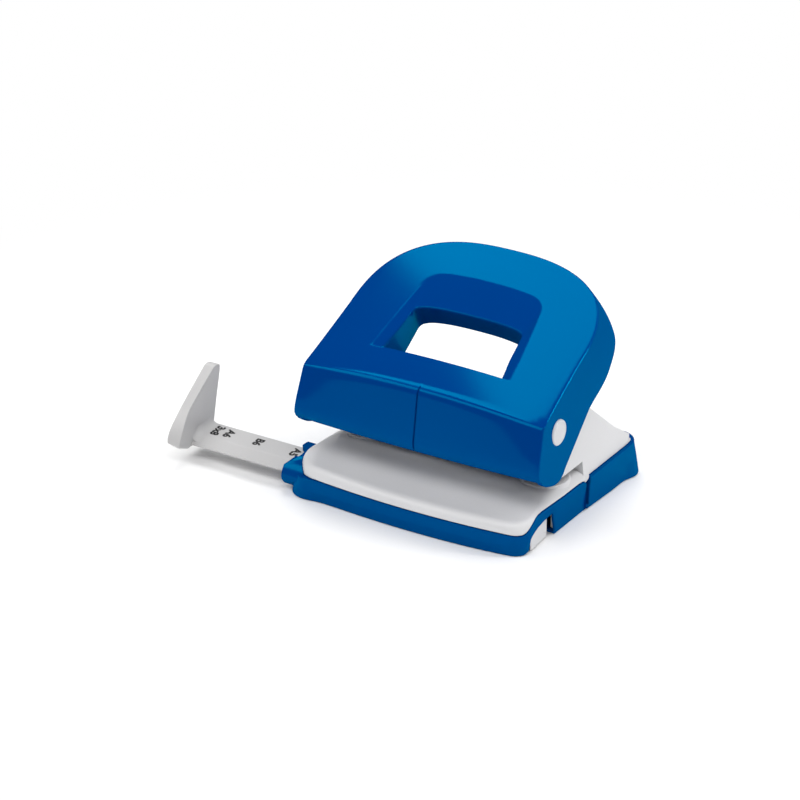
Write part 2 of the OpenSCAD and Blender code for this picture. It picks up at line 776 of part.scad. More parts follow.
// Shallow funnel that leads the fingers into the window, drawn out and down by grow
module finger_rest(grow) {
    floor_w = handle_crown - 1 - rest_depth - grow;
    hull() {
        on_plate() translate([0, 0, handle_crown]) linear_extrude(2) rest_plan(grow);
        on_plate() translate([0, 0, floor_w]) linear_extrude(eps) window_plan(grow / 2 + 0.2);
    }
}

module handle_skin() {
    difference() {
        intersection() {
            on_plate() translate([0, 0, -60]) linear_extrude(80) handle_plan(0);
            side_view(-handle_half - 2, handle_half + 2) handle_profile(0);
            under_crown(0);
        }
        intersection() {
            on_plate() translate([0, 0, -80]) linear_extrude(100) handle_plan(handle_wall);
            side_view(-far, far) handle_profile(handle_wall);
            under_crown(handle_wall);
        }
    }
}

module handle_bosses() {
    inner = ear_in - 0.2;
    // bosses that reach in to the ears
    both_sides() {
        bar_x(tower_half - tower_draft * (pivot_h - ear_boss_r - part_line(slit_y)) + boss_gap,
              handle_half - 1, 2 * ear_boss_r - 2, pivot_y, pivot_h);
        // ribs that hold the press lever
        for (x = [pin_x - lever_w / 2 - 1.7, pin_x + lever_w / 2 + 0.1])
            intersection() {
                side_view(x, x + 1.6) translate([pivot_y, pivot_h]) polygon([
                    [9, 9.5], [22, 13], [20, 30], [-6, 30], [2, 9]]);
                side_view(-far, far) handle_profile(handle_wall - 0.4);
                under_crown(handle_wall - 0.4);
            }
    }
}

module window_collar() {
    intersection() {
        on_plate() translate([0, 0, -2 * window_depth]) linear_extrude(2 * window_depth + handle_crown)
            window_plan(handle_wall);
        on_plate() translate([0, window_at, -window_depth]) rotate([collar_rise, 0, 0])
            translate([-far / 2, -far / 2, 0]) cube([far, far, far]);
        under_crown(handle_wall / 2);
    }
}

module handle() {
    color(blue) difference() {
        union() {
            handle_skin();
            handle_bosses();
            window_collar();
            intersection() {
                finger_rest(handle_wall);
                under_crown(handle_wall / 2);
            }
        }
        on_plate() translate([0, 0, -far / 2]) linear_extrude(far) window_plan(0);
        intersection() {
            finger_rest(0);
            on_plate() translate([-far / 2, window_at, -far / 2]) cube([far, far, far]);
        }
        // axle and the seats of its caps
        bar_x(-far / 2, far / 2, axle_d, pivot_y, pivot_h);
        both_sides() bar_x(handle_half - cap_t + cap_proud, far, cap_d + 2 * run_gap, pivot_y, pivot_h);
        // centre groove of the skirt
        side_view(-groove_w / 2, groove_w / 2) difference() {
            handle_profile(0);
            translate([groove_depth, 0]) handle_profile(0);
        }
        lever_screw_holes();
    }
}

module axle() {
    half = handle_half - cap_t + cap_proud;
    color(steel) difference() {
        bar_x(-half, half, axle_d, pivot_y, pivot_h);
        for (s = [-1, 1])
            translate([s * (half - 1.5), pivot_y, pivot_h]) rotate([0, 90, 0])
                rotate_extrude() translate([axle_d / 2, 0]) circle(0.4, $fn = 16);
    }
}

module axle_cap() {
    x0 = handle_half - cap_t + cap_proud;
    color(light_grey) translate([x0, pivot_y, pivot_h]) rotate([0, 90, 0]) rotate_extrude()
        polygon(concat([[0, 0], [cap_d / 2, 0], [cap_d / 2, cap_t - 0.7]],
            [for (a = [15:15:90]) [cap_d / 2 - 0.7 + 0.7 * cos(a), cap_t - 0.7 + 0.7 * sin(a)]],
            [[0, cap_t]]));
}

module axle_cap_left() mirror([1, 0, 0]) axle_cap();
module axle_cap_right() axle_cap();

// ---- Press levers -------------------------------------------------------

// Side view of a press lever: eye on the axle, nose on the pin, head up to the top
module lever_outline() {
    eye_r = axle_d / 2 + 3;
    translate([pivot_y, pivot_h]) circle(eye_r);
    translate([nose_y, nose_z]) circle(nose_r);
    polygon([[pivot_y + eye_r * 0.6, pivot_h - eye_r * 0.8], [nose_y - 5.7, nose_z - 2],
             [nose_y - nose_r * 0.87, nose_z - nose_r * 0.5], [nose_y, nose_z],
             [nose_y + nose_r * 0.95, nose_z + nose_r * 0.3], [nose_y + 5, nose_z + lever_head_h + 2.8],
             [nose_y - 8, nose_z + lever_head_h - 2.8], [pivot_y - eye_r * 0.2, pivot_h + eye_r * 0.97]]);
}

module press_lever(x) {
    color(steel) difference() {
        side_view(x - lever_w / 2, x + lever_w / 2) lever_outline();
        bar_x(x - lever_w, x + lever_w, axle_d, pivot_y, pivot_h);
        lever_screw_holes();
    }
}

module lever_screw_at() {
    both_sides() translate([pin_x, nose_y - nose_r / 2, nose_z + lever_head_h]) rotate([handle_slope, 0, 0])
        children();
}

module lever_screw_holes() {
    lever_screw_at() translate([0, 0, -far / 2]) cylinder(h = far / 2 + lever_screw_len / 2, d = screw_d);
}

module press_lever_left() press_lever(-pin_x);
module press_lever_right() press_lever(pin_x);

module lever_screws() {
    color(steel) lever_screw_at() translate([0, 0, -lever_screw_len / 2])
        cylinder(h = lever_screw_len, d = screw_d);
}

// ---- Paper guide --------------------------------------------------------

module stop_outline() {
    top_r = 3.4;
    top = [-rail_back + 3.4, stop_h - top_r];
    toe_r = 2.6;
    toe = [rail_front - stop_reach + toe_r, rail_top];
    heel = [rail_front - 2.5, stop_bottom];
    brow = [rail_front - 5.5, rail_top + 6.5];
    shoulder = [-rail_back - 12.2, stop_h - 10];
    spine = [-rail_back + 1.2, rail_top];
    polygon([[-rail_back, stop_bottom], spine, touch_point(top, top_r, spine, 1), top,
             touch_point(top, top_r, shoulder, -1), shoulder, brow,
             touch_point(toe, toe_r, brow, 1), toe, touch_point(toe, toe_r, heel, -1), heel]);
    translate(top) circle(top_r);
    translate(toe) circle(toe_r);
}

module paper_guide() {
    color(light_grey) {
        difference() {
            side_view(-stop_at - stop_t / 2, guide_inner_end) rail_outline(0);
            // click notches on the underside
            for (at = settings)
                bar_y(-far / 2, far / 2, 1, click_x + at - stop_at, rail_z);
        }
        side_view(-stop_at - stop_t, -stop_at) stop_outline();
        // fillet between rail and stop
        translate([-stop_at, 0, 0]) intersection() {
            side_view(-1, 3) rail_fillet_side();
            translate([0, -far / 2, rail_z + rail_h - 1.6]) rotate([-90, 0, 0]) linear_extrude(far)
                polygon([[-1, 0], [3, 0], [1.2, -0.8], [0.5, -1.6], [0, -3.4], [-1, -3.4]]);
        }
    }
}

module rail_fillet_side() {
    translate([rail_front, rail_z]) square([rail_w, rail_h + 4]);
}

chip_tray();
tray_hinge_pin();
guide_click_spring();
housing();
die_plate();
die_screws();
die_bush_left();
die_bush_right();
guide_bush_left();
guide_bush_right();
punch_pin_left();
punch_pin_right();
return_spring_left();
return_spring_right();
handle();
axle();
axle_cap_left();
axle_cap_right();
press_lever_left();
press_lever_right();
lever_screws();
paper_guide();
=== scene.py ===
"""Looks of a two-hole desk punch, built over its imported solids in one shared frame."""

import logging
import math
from dataclasses import dataclass, field
from enum import Enum
from typing import Any, Optional, Sequence, Union

import bmesh
import bpy
from mathutils import Matrix, Vector


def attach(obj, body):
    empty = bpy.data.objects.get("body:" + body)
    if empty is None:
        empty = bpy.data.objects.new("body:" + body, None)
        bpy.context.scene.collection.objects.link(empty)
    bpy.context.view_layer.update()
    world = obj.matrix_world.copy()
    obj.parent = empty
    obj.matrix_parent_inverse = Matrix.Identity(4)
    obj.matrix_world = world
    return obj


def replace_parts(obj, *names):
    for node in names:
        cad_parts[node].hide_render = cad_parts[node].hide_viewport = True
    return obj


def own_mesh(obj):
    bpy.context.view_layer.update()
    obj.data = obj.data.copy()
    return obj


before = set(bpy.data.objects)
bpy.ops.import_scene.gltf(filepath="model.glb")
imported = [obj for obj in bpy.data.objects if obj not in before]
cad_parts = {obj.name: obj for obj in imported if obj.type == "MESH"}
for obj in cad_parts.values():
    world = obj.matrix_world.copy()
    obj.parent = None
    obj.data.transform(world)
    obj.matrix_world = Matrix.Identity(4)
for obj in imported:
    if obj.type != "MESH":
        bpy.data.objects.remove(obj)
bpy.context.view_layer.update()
MM = 0.001
LOG = logging.getLogger("punch")

Plan = tuple[float, float]
Outline = list[Plan]
Loop = list[Vector]
Marked = list[tuple[Vector, float]]

# Places that several classes share, in millimetres: X to the right, Y to the back and Z up.
SIDES = (("left", -1.0), ("right", 1.0))
PIN_X = 40.0
AXLE: Plan = (-15.7, 47.0)
TRAY_HINGE = (-51.3, 0.0, 15.0)
RAIL_Y: Plan = (-32.0, -17.0)
RAIL_Z: Plan = (6.5, 11.0)
RAIL_GAP = 0.3


class Body(Enum):
    """The rigid bodies that pieces ride on."""

    TRAY = "tray"
    FRAME = "frame"
    HANDLE = "handle"
    PIN_LEFT = "pin_left"
    PIN_RIGHT = "pin_right"
    GUIDE = "guide"


class Stretch(Enum):
    """The stretches of the handle's rim, from the middle of the front round to the back."""

    FRONT = "front"
    CORNER = "corner"
    SIDE = "side"
    BACK = "back"


# ---- Shader bench -----------------------------------------------------------


class Channel:
    """A number that varies over a surface, with the operators that its sums need."""

    def __init__(self, bench: "Bench", socket: bpy.types.NodeSocket) -> None:
        """Wraps one output socket.

        Args:
            bench: the bench that adds new nodes.
            socket: the output that carries the number.
        """
        self.bench = bench
        self.socket = socket

    def _sum(self, operation: str, first: Any, second: Any) -> "Channel":
        """Adds one Math node and gives its result.

        Args:
            operation: the node's operation.
            first: a channel or a number.
            second: a channel or a number.

        Returns:
            The result as a channel.
        """
        node = self.bench.node("ShaderNodeMath", {"operation": operation}, {0: first, 1: second})
        return Channel(self.bench, node.outputs[0])

    def __add__(self, other: Any) -> "Channel":
        """Gives the sum of both."""
        return self._sum("ADD", self, other)

    def __radd__(self, other: Any) -> "Channel":
        """Gives the sum of both, with the channel on the right."""
        return self._sum("ADD", other, self)

    def __sub__(self, other: Any) -> "Channel":
        """Gives this less the other."""
        return self._sum("SUBTRACT", self, other)

    def __rsub__(self, other: Any) -> "Channel":
        """Gives the other less this."""
        return self._sum("SUBTRACT", other, self)

    def __mul__(self, other: Any) -> "Channel":
        """Gives the product of both."""
        return self._sum("MULTIPLY", self, other)

    def __rmul__(self, other: Any) -> "Channel":
        """Gives the product of both, with the channel on the right."""
        return self._sum("MULTIPLY", other, self)

    def capped(self, most: float) -> "Channel":
        """Keeps the value under a limit."""
        return self._sum("MINIMUM", self, most)


class Bench:
    """Builds the node tree of one material or of the world."""

    def __init__(self, owner: Union[bpy.types.Material, bpy.types.World], out: str = "Material") -> None:
        """Clears the owner's nodes.

        Args:
            owner: the material or world, new and empty.
            out: Material or World, as its output node is called.
        """
        owner.use_nodes = True
        self.tree = owner.node_tree
        self.tree.nodes.clear()
        self.out = self.tree.nodes.new(f"ShaderNodeOutput{out}")

    def node(
        self, kind: str, settings: Optional[dict[str, Any]] = None,
        inputs: Optional[dict[Union[str, int], Any]] = None,
    ) -> bpy.types.Node:
        """Adds one node of any type.

        Args:
            kind: the node's type.
            settings: attributes that are set first.
            inputs: values, channels or sockets for its inputs.

        Returns:
            The new node.
        """
        made = self.tree.nodes.new(kind)
        for key, value in (settings or {}).items():
            setattr(made, key, value)
        for key, value in (inputs or {}).items():
            if isinstance(value, Channel):
                self.tree.links.new(value.socket, made.inputs[key])
            elif isinstance(value, bpy.types.NodeSocket):
                self.tree.links.new(value, made.inputs[key])
            else:
                made.inputs[key].default_value = value
        return made

    def place(self, stretch: Sequence[float] = (1.0, 1.0, 1.0)) -> bpy.types.NodeSocket:
        """Gives the piece's own coordinates, stretched along its axes.

        Args:
            stretch: scale along X, Y and Z.

        Returns:
            A vector socket.
        """
        spot = self.node("ShaderNodeTexCoord").outputs["Object"]
        moved = self.node("ShaderNodeMapping", None, {"Vector": spot, "Scale": tuple(stretch)})
        return moved.outputs["Vector"]

    def noise(self, size_mm: float, detail: float = 2.0,
              stretch: Sequence[float] = (1.0, 1.0, 1.0)) -> Channel:
        """Gives soft noise.

        Args:
            size_mm: size of its largest spots.
            detail: how many finer layers it has.
            stretch: scale along X, Y and Z.

        Returns:
            A channel about 0.5.
        """
        made = self.node("ShaderNodeTexNoise", {"noise_dimensions": "3D"},
                         {"Vector": self.place(stretch), "Scale": 1000.0 / size_mm, "Detail": detail})
        return Channel(self, made.outputs["Fac"])

    def mix(self, share: Channel, first: Any, second: Any) -> bpy.types.NodeSocket:
        """Mixes two colours.

        Args:
            share: how much of the second shows.
            first: a colour or socket.
            second: a colour or socket.

        Returns:
            The mixed colour.
        """
        made = self.node("ShaderNodeMix", {"data_type": "RGBA"}, {0: share, 6: first, 7: second})
        return made.outputs[2]

    def bump(self, height: Channel, depth_mm: float) -> bpy.types.NodeSocket:
        """Turns a height into a surface normal.

        Args:
            height: the height, from 0 to 1.
            depth_mm: how deep the full height is.

        Returns:
            The bent normal.
        """
        made = self.node("ShaderNodeBump", None,
                         {"Strength": 1.0, "Distance": depth_mm * MM, "Height": height})
        return made.outputs["Normal"]

    def principled(self, **inputs: Any) -> bpy.types.NodeSocket:
        """Adds a Principled surface.

        Args:
            **inputs: its sockets, with underscores for blanks.

        Returns:
            Its shader socket.
        """
        named = {key.replace("_", " "): value for key, value in inputs.items()}
        return self.node("ShaderNodeBsdfPrincipled", None, named).outputs["BSDF"]

    def blend(self, share: Any, first: bpy.types.NodeSocket,
              second: bpy.types.NodeSocket) -> bpy.types.NodeSocket:
        """Mixes two shaders by a share of the second."""
        return self.node("ShaderNodeMixShader", None, {0: share, 1: first, 2: second}).outputs[0]

    def end(self, shader: bpy.types.NodeSocket) -> None:
        """Ends the tree in a shader."""
        self.tree.links.new(shader, self.out.inputs["Surface"])


def shade(colour: Sequence[float], factor: float) -> tuple[float, float, float, float]:
    """Gives a colour made lighter or darker.

    Args:
        colour: red, green and blue.
        factor: what each is multiplied by.

    Returns:
        The colour with a full alpha.
    """
    red, green, blue = (min(1.0, part * factor) for part in colour[:3])
    return (red, green, blue, 1.0)


@dataclass(frozen=True)
class MouldedPlastic:
    """Injection-moulded plastic with a faint flow in its colour and a fine skin."""

    name: str
    colour: tuple[float, float, float]
    roughness: float
    specular: float = 0.5
    skin_mm: float = 0.004
    grain_mm: float = 0.9

    def body(self, bench: Bench, bent: bpy.types.NodeSocket, speck: Channel) -> bpy.types.NodeSocket:
        """Builds the plastic's body.

        Args:
            bench: the material's bench.
            bent: the surface normal of its skin.
            speck: its fine grain.

        Returns:
            The shader socket.
        """
        flow = bench.noise(38.0, 1.0)
        colour = bench.mix(flow * 0.7 + speck * 0.3, shade(self.colour, 0.94), shade(self.colour, 1.06))
        rough = self.roughness * 0.85 + speck * (self.roughness * 0.3)
        return bench.principled(Base_Color=colour, Roughness=rough, Normal=bent,
                                Specular_IOR_Level=self.specular)

    def surface(self, bench: Bench) -> bpy.types.NodeSocket:
        """Builds the surface.

        Args:
            bench: the bench that it is built on.

        Returns:
            The shader socket.
        """
        speck = bench.noise(self.grain_mm, 2.0)
        return self.body(bench, bench.bump(speck, self.skin_mm), speck)


@dataclass(frozen=True)
class DeepPlastic(MouldedPlastic):
    """Through-dyed glossy plastic whose reflections take on its colour."""

    gloss: tuple[float, float, float] = (0.0, 0.7, 1.0)
    index: float = 1.45
    most: float = 0.08

    def surface(self, bench: Bench) -> bpy.types.NodeSocket:
        """Builds the surface.

        Args:
            bench: the bench that it is built on.

        Returns:
            The shader socket.
        """
        speck = bench.noise(self.grain_mm, 2.0)
        bent = bench.bump(speck, self.skin_mm)
        body = self.body(bench, bent, speck)
        shine = bench.node("ShaderNodeBsdfGlossy", None,
                           {"Color": (*self.gloss, 1.0), "Roughness": self.roughness, "Normal": bent})
        facing = Channel(bench, bench.node("ShaderNodeFresnel", None, {"IOR": self.index}).outputs[0])
        return bench.blend(facing.capped(self.most), body, shine.outputs[0])


@dataclass(frozen=True)
class TurnedSteel:
    """Bright steel with turning or grinding lines round one axis."""

    name: str
    colour: tuple[float, float, float]
    roughness: float
    stretch: tuple[float, float, float]
    line_mm: float = 0.5

    def surface(self, bench: Bench) -> bpy.types.NodeSocket:
        """Builds the surface.

        Args:
            bench: the bench that it is built on.

        Returns:
            The shader socket.
        """
        lines = bench.noise(self.line_mm, 3.0, self.stretch)
        cloud = bench.noise(7.0, 2.0)
        colour = bench.mix(lines * 0.5 + cloud * 0.5, shade(self.colour, 0.82), shade(self.colour, 1.12))
        return bench.principled(
            Base_Color=colour, Metallic=1.0, Roughness=self.roughness * 0.7 + lines * (self.roughness * 0.6),
            Normal=bench.bump(lines, 0.006),
        )


@dataclass(frozen=True)
class PrintedInk:
    """Dense printing ink, a little uneven at its edges."""

    name: str
    colour: tuple[float, float, float]

    def surface(self, bench: Bench) -> bpy.types.NodeSocket:
        """Builds the surface.

        Args:
            bench: the bench that it is built on.

        Returns:
            The shader socket.
        """
        body = bench.noise(0.6, 2.0)
        return bench.principled(
            Base_Color=bench.mix(body, shade(self.colour, 0.8), shade(self.colour, 1.6)),
            Roughness=0.45 + body * 0.15,
        )


@dataclass(frozen=True)
class Paper:
    """Seamless white paper: lit near the punch, where its soft shadow lies, and pure white beyond."""

    name: str = "studio_paper"
    near: float = 0.12
    far: float = 0.34

    def surface(self, bench: Bench) -> bpy.types.NodeSocket:
        """Builds the surface.

        Args:
            bench: the bench that it is built on.

        Returns:
            The shader socket.
        """
        grain = bench.noise(2.0, 2.0)
        lit = bench.principled(
            Base_Color=bench.mix(grain, (0.95, 0.95, 0.95, 1.0), (0.97, 0.97, 0.97, 1.0)),
            Roughness=0.9, Specular_IOR_Level=0.1,
        )
        spot = bench.node("ShaderNodeTexCoord").outputs["Object"]
        away = bench.node("ShaderNodeVectorMath", {"operation": "LENGTH"}, {0: spot}).outputs["Value"]
        open_air = bench.node("ShaderNodeMapRange", {"interpolation_type": "SMOOTHSTEP"},
                              {"Value": away, "From Min": self.near, "From Max": self.far})
        path = bench.node("ShaderNodeLightPath")
        seen = (Channel(bench, path.outputs["Is Camera Ray"]) + Channel(bench, path.outputs["Is Glossy Ray"])
                + Channel(bench, path.outputs["Is Transmission Ray"]))
        white = bench.node("ShaderNodeEmission", None, {"Color": (1.0, 1.0, 1.0, 1.0), "Strength": 1.0})
        return bench.blend(seen * Channel(bench, open_air.outputs[0]), lit, white.outputs[0])


class Finish(Enum):
    """Every finish on the punch."""

    HANDLE = DeepPlastic("handle_blue", (0.0, 0.034, 0.204), 0.1, 0.0)
    TRAY = DeepPlastic("tray_blue", (0.0, 0.042, 0.215), 0.16, 0.0, 0.008)
    HOUSING = MouldedPlastic("housing_grey", (0.67, 0.67, 0.68), 0.36, skin_mm=0.008)
    GUIDE = MouldedPlastic("guide_grey", (0.50, 0.495, 0.495), 0.42, skin_mm=0.008)
    CAP = MouldedPlastic("cap_grey", (0.60, 0.605, 0.63), 0.3)
    STEEL = TurnedSteel("plated_steel", (0.56, 0.57, 0.59), 0.3, (0.05, 1.0, 1.0))
    GROUND = TurnedSteel("ground_steel", (0.50, 0.51, 0.53), 0.2, (1.0, 1.0, 0.05), 0.4)
    SPRING = TurnedSteel("spring_steel", (0.38, 0.38, 0.41), 0.28, (0.3, 0.3, 1.0), 0.3)
    SCREW = TurnedSteel("screw_steel", (0.46, 0.46, 0.48), 0.34, (1.0, 1.0, 0.1), 0.4)
    INK = PrintedInk("scale_ink", (0.002, 0.002, 0.003))
    PAPER = Paper()

    def get(self) -> bpy.types.Material:
        """Gives the material, built once."""
        made = bpy.data.materials.get(self.value.name)
        if made is None:
            made = bpy.data.materials.new(self.value.name)
            bench = Bench(made)
            bench.end(self.value.surface(bench))
        return made


class Dress(Enum):
    """What a piece is made of, what it rides on and the record's slot of its finish."""

    TRAY = (Finish.TRAY, Body.TRAY, "tray_plastic")
    HOUSING = (Finish.HOUSING, Body.FRAME, "housing_plastic")
    SPRING = (Finish.SPRING, Body.FRAME, "spring_steel")
    HANDLE = (Finish.HANDLE, Body.HANDLE, "handle_plastic")
    CAP = (Finish.CAP, Body.HANDLE, "cap_plastic")
    GUIDE = (Finish.GUIDE, Body.GUIDE, "guide_plastic")
    MARK = (Finish.INK, Body.GUIDE, "guide_plastic")

    def put_on(self, made: bpy.types.Object) -> None:
        """Gives a piece its material and its body.

        Args:
            made: the piece.
        """
        finish, body, slot = self.value
        made.data.materials.clear()
        made.data.materials.append(finish.get())
        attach(made, body.value)


def put(name: str, data: bpy.types.ID) -> bpy.types.Object:
    """Puts an object into the scene.

    Args:
        name: the object's name.
        data: its mesh, curve, lamp or camera.

    Returns:
        The object.
    """
    made = bpy.data.objects.new(name, data)
    bpy.context.scene.collection.objects.link(made)
    return made


# ---- Shapes in plan and section ---------------------------------------------


def ease(share: float) -> float:
    """Gives a smooth step between 0 and 1."""
    held = min(1.0, max(0.0, share))
    return (1.0 - math.cos(math.pi * held)) / 2.0


def rise(value: float, start: float, end: float) -> float:
    """Gives a smooth step that goes from 0 at the start to 1 at the end, on whichever side that lies."""
    return ease((value - start) / (end - start))


def lerp(low: float, high: float, share: float) -> float:
    """Gives a value between two others."""
    return low + (high - low) * share


def along(points: Sequence[Plan], share: float) -> Plan:
    """Gives a point on a smooth curve through the points.

    Args:
        points: what the curve goes through.
        share: 0 at the first and 1 at the last.

    Returns:
        The point.
    """
    last = len(points) - 1
    spot = min(1.0, max(0.0, share)) * last
    k = min(last - 1, int(spot))
    t = spot - k
    before, first = points[max(0, k - 1)], points[k]
    second, after = points[k + 1], points[min(last, k + 2)]
    made = []
    for a, b, c, d in zip(before, first, second, after):
        made.append(0.5 * (2 * b + (c - a) * t + (2 * a - 5 * b + 4 * c - d) * t * t
                           + (3 * b - a - 3 * c + d) * t ** 3))
    return (made[0], made[1])


def by_length(points: Sequence[Plan], share: float) -> Plan:
    """Gives a point on a chain of straight runs, by its length.

    Args:
        points: the chain.
        share: 0 at the first and 1 at the last.

    Returns:
        The point.
    """
    runs = [math.dist(a, b) for a, b in zip(points, points[1:])]
    left = min(1.0, max(0.0, share)) * sum(runs)
    for (a, b), run in zip(zip(points, points[1:]), runs):
        if left <= run + 1e-9:
            part = left / run if run else 0.0
            return (lerp(a[0], b[0], part), lerp(a[1], b[1], part))
        left -= run
    return points[-1]


def flow(points: Sequence[Plan], share: float) -> Plan:
    """Gives a point on the smooth curve through the points, by its length.

    Args:
        points: what the curve goes through.
        share: 0 at the first and 1 at the last.

    Returns:
        The point.
    """
    steps = 8 * (len(points) - 1)
    return by_length([along(points, i / steps) for i in range(steps + 1)], share)


def height_at(line: Sequence[Plan], y: float) -> float:
    """Gives the second value of a line of points at one first value."""
    for (y0, z0), (y1, z1) in zip(line, line[1:]):
        if y <= y1:
            return lerp(z0, z1, max(0.0, (y - y0) / (y1 - y0)))
    return line[-1][1]


def arc(centre: Plan, radius: float, start: float, end: float, steps: int) -> Outline:
    """Gives points on an arc.

    Args:
        centre: its middle.
        radius: its radius.
        start: first angle in degrees.
        end: last angle in degrees.
        steps: how many runs it has.

    Returns:
        The points, both ends included.
    """
    turns = [math.radians(lerp(start, end, i / steps)) for i in range(steps + 1)]
    return [(centre[0] + radius * math.cos(a), centre[1] + radius * math.sin(a)) for a in turns]


def round_loop(corners: Marked, steps: int = 4) -> Loop:
    """Rounds the marked corners of a closed loop.

    Args:
        corners: each corner with how far its rounding reaches, 0 for a plain point.
        steps: how many runs a rounding has.

    Returns:
        The loop, with as many points for any corners of the same marks.
    """
    made: Loop = []
    count = len(corners)
    for i, (point, radius) in enumerate(corners):
        if radius <= 0.0:
            made.append(point.copy())
            continue
        back = corners[i - 1][0] - point
        ahead = corners[(i + 1) % count][0] - point
        start = point + back.normalized() * min(radius, back.length * 0.45)
        end = point + ahead.normalized() * min(radius, ahead.length * 0.45)
        for k in range(steps + 1):
            t = k / steps
            made.append(start * (1 - t) ** 2 + point * (2 * t * (1 - t)) + end * t * t)
    return made


class Piece:
    """One visible piece: a mesh in millimetres that is then dressed and set on its body."""

    def __init__(self, name: str) -> None:
        """Starts an empty piece.

        Args:
            name: the piece's name.
        """
        self.name = name
        self.mesh = bmesh.new()

    def skin(self, rows: Sequence[Loop], ring: bool = True, caps: bool = False,
             looped: bool = True) -> "Piece":
        """Covers rows of points with quads.

        Args:
            rows: lines of points, as many in each.
            ring: whether the last row joins the first.
            caps: whether the end rows are closed with a face.
            looped: whether each row's last point joins its first.

        Returns:
            This piece.
        """
        made = [[self.mesh.verts.new(p) for p in row] for row in rows]
        across = len(rows[0])
        pairs = list(zip(made, made[1:])) + ([(made[-1], made[0])] if ring else [])
        for low, high in pairs:
            for j in range(across if looped else across - 1):
                k = (j + 1) % across
                self.mesh.faces.new((low[j], low[k], high[k], high[j]))
        if caps:
            self.mesh.faces.new(list(reversed(made[0])))
            self.mesh.faces.new(made[-1])
        return self

    def prism(self, sections: Sequence[Loop]) -> "Piece":
        """Lofts a closed solid through sections, with flat ends."""
        return self.skin(sections, ring=False, caps=True)

    def lathe(self, profile: Outline, spot: Sequence[float], axis: str = "Z", steps: int = 64) -> "Piece":
        """Turns a profile round an axis.

        Args:
            profile: radius and height pairs, from the axis out and back to it.
            spot: the axis's foot.
            axis: X, Y or Z.
            steps: faces round.

        Returns:
            This piece.
        """
        rows = []
        for i in range(steps):
            turn = 2 * math.pi * i / steps
            row = []
            for radius, height in profile:
                a, b = radius * math.cos(turn), radius * math.sin(turn)
                local = {"Z": (a, b, height), "X": (height, a, b), "Y": (b, height, a)}[axis]
                row.append(Vector(local) + Vector(spot))
            rows.append(row)
        return self.skin(rows)

    def solid(self) -> bpy.types.Object:
        """Gives the mesh as it stands as an object in metres."""
        bmesh.ops.recalc_face_normals(self.mesh, faces=self.mesh.faces)
        bmesh.ops.scale(self.mesh, vec=(MM, MM, MM), verts=self.mesh.verts)
        data = bpy.data.meshes.new(self.name)
        self.mesh.to_mesh(data)
        self.mesh.free()
        return put(self.name, data)

    def finish(
        self, dress: Dress, bevel: float = 0.0, angle: float = 30.0, cuts: Sequence[bpy.types.Object] = (),
    ) -> bpy.types.Object:
        """Closes, dresses and places the piece.

        Args:
            dress: its finish, body and slot.
            bevel: width of the rounded edges in millimetres.
            angle: edges sharper than this many degrees are rounded.
            cuts: solids that are cut out of it.

        Returns:
            The object.
        """
        bmesh.ops.remove_doubles(self.mesh, verts=self.mesh.verts, dist=0.002)
        bmesh.ops.dissolve_degenerate(self.mesh, dist=0.001, edges=self.mesh.edges)
        made = self.solid()
        for cut in cuts:
            tool = made.modifiers.new("cut", "BOOLEAN")
            tool.operation = "DIFFERENCE"
            tool.solver = "EXACT"
            tool.object = cut
        if bevel > 0.0:
            tool = made.modifiers.new("edge", "BEVEL")
            tool.width = bevel * MM
            tool.segments = 3
            tool.limit_method = "ANGLE"
            tool.angle_limit = math.radians(angle)
            tool.miter_outer = "MITER_ARC"
            tool.use_clamp_overlap = True
        for face in made.data.polygons:
            face.use_smooth = True
        made.modifiers.new("normals", "WEIGHTED_NORMAL").weight = 60
        shaped = settled_mesh(made)
        made.modifiers.clear()
        made.data = shaped
        for cut in cuts:
            bpy.data.objects.remove(cut, do_unlink=True)
        dress.put_on(made)
        LOG.info("%s: %d faces", made.name, len(made.data.polygons))
        return made


def settled_mesh(shape: bpy.types.Object) -> bpy.types.Mesh:
    """Gives an object's shape, with its modifiers or its curves worked out, as a mesh."""
    return bpy.data.meshes.new_from_object(shape.evaluated_get(bpy.context.evaluated_depsgraph_get()))


def side_section(outline: Outline, x: float) -> Loop:
    """Stands an outline of Y and Z up at one X."""
    return [Vector((x, y, z)) for y, z in outline]


def box_line(ys: Plan, zs: Plan) -> Outline:
    """Gives the side view of a bar by its ends along Y and Z."""
    (ya, yb), (za, zb) = ys, zs
    return [(ya, za), (yb, za), (yb, zb), (ya, zb)]


def both_sides(places: Sequence[float], near: float) -> list[float]:
    """Gives a place close before and close behind each of the places."""
    return [place + step for place in places for step in (-near, near)]


def tube_line(radii: Plan, ends: Plan) -> Outline:
    """Gives the profile of a tube by its two radii and its two ends."""
    (inner, outer), (low, high) = radii, ends
    return [(inner, low), (outer, low), (outer, high), (inner, high)]


# ---- Handle -----------------------------------------------------------------


@dataclass(frozen=True)
class Station:
    """One place on the handle's rim, with what lies opposite it.

    The rim, the finger rest's edge and the window's edge are given across and along the sloping top.
    Share runs from 0 to 1 along the stretch, and drop is how far the rest lies under the top.
    """

    stretch: Stretch
    share: float
    rim: Plan
    rest: Plan
    window: Plan
    drop: float

    @property
    def side(self) -> float:
        """Gives 1 on the right half and -1 on the left."""
        return 1.0 if self.rim[0] >= 0 else -1.0


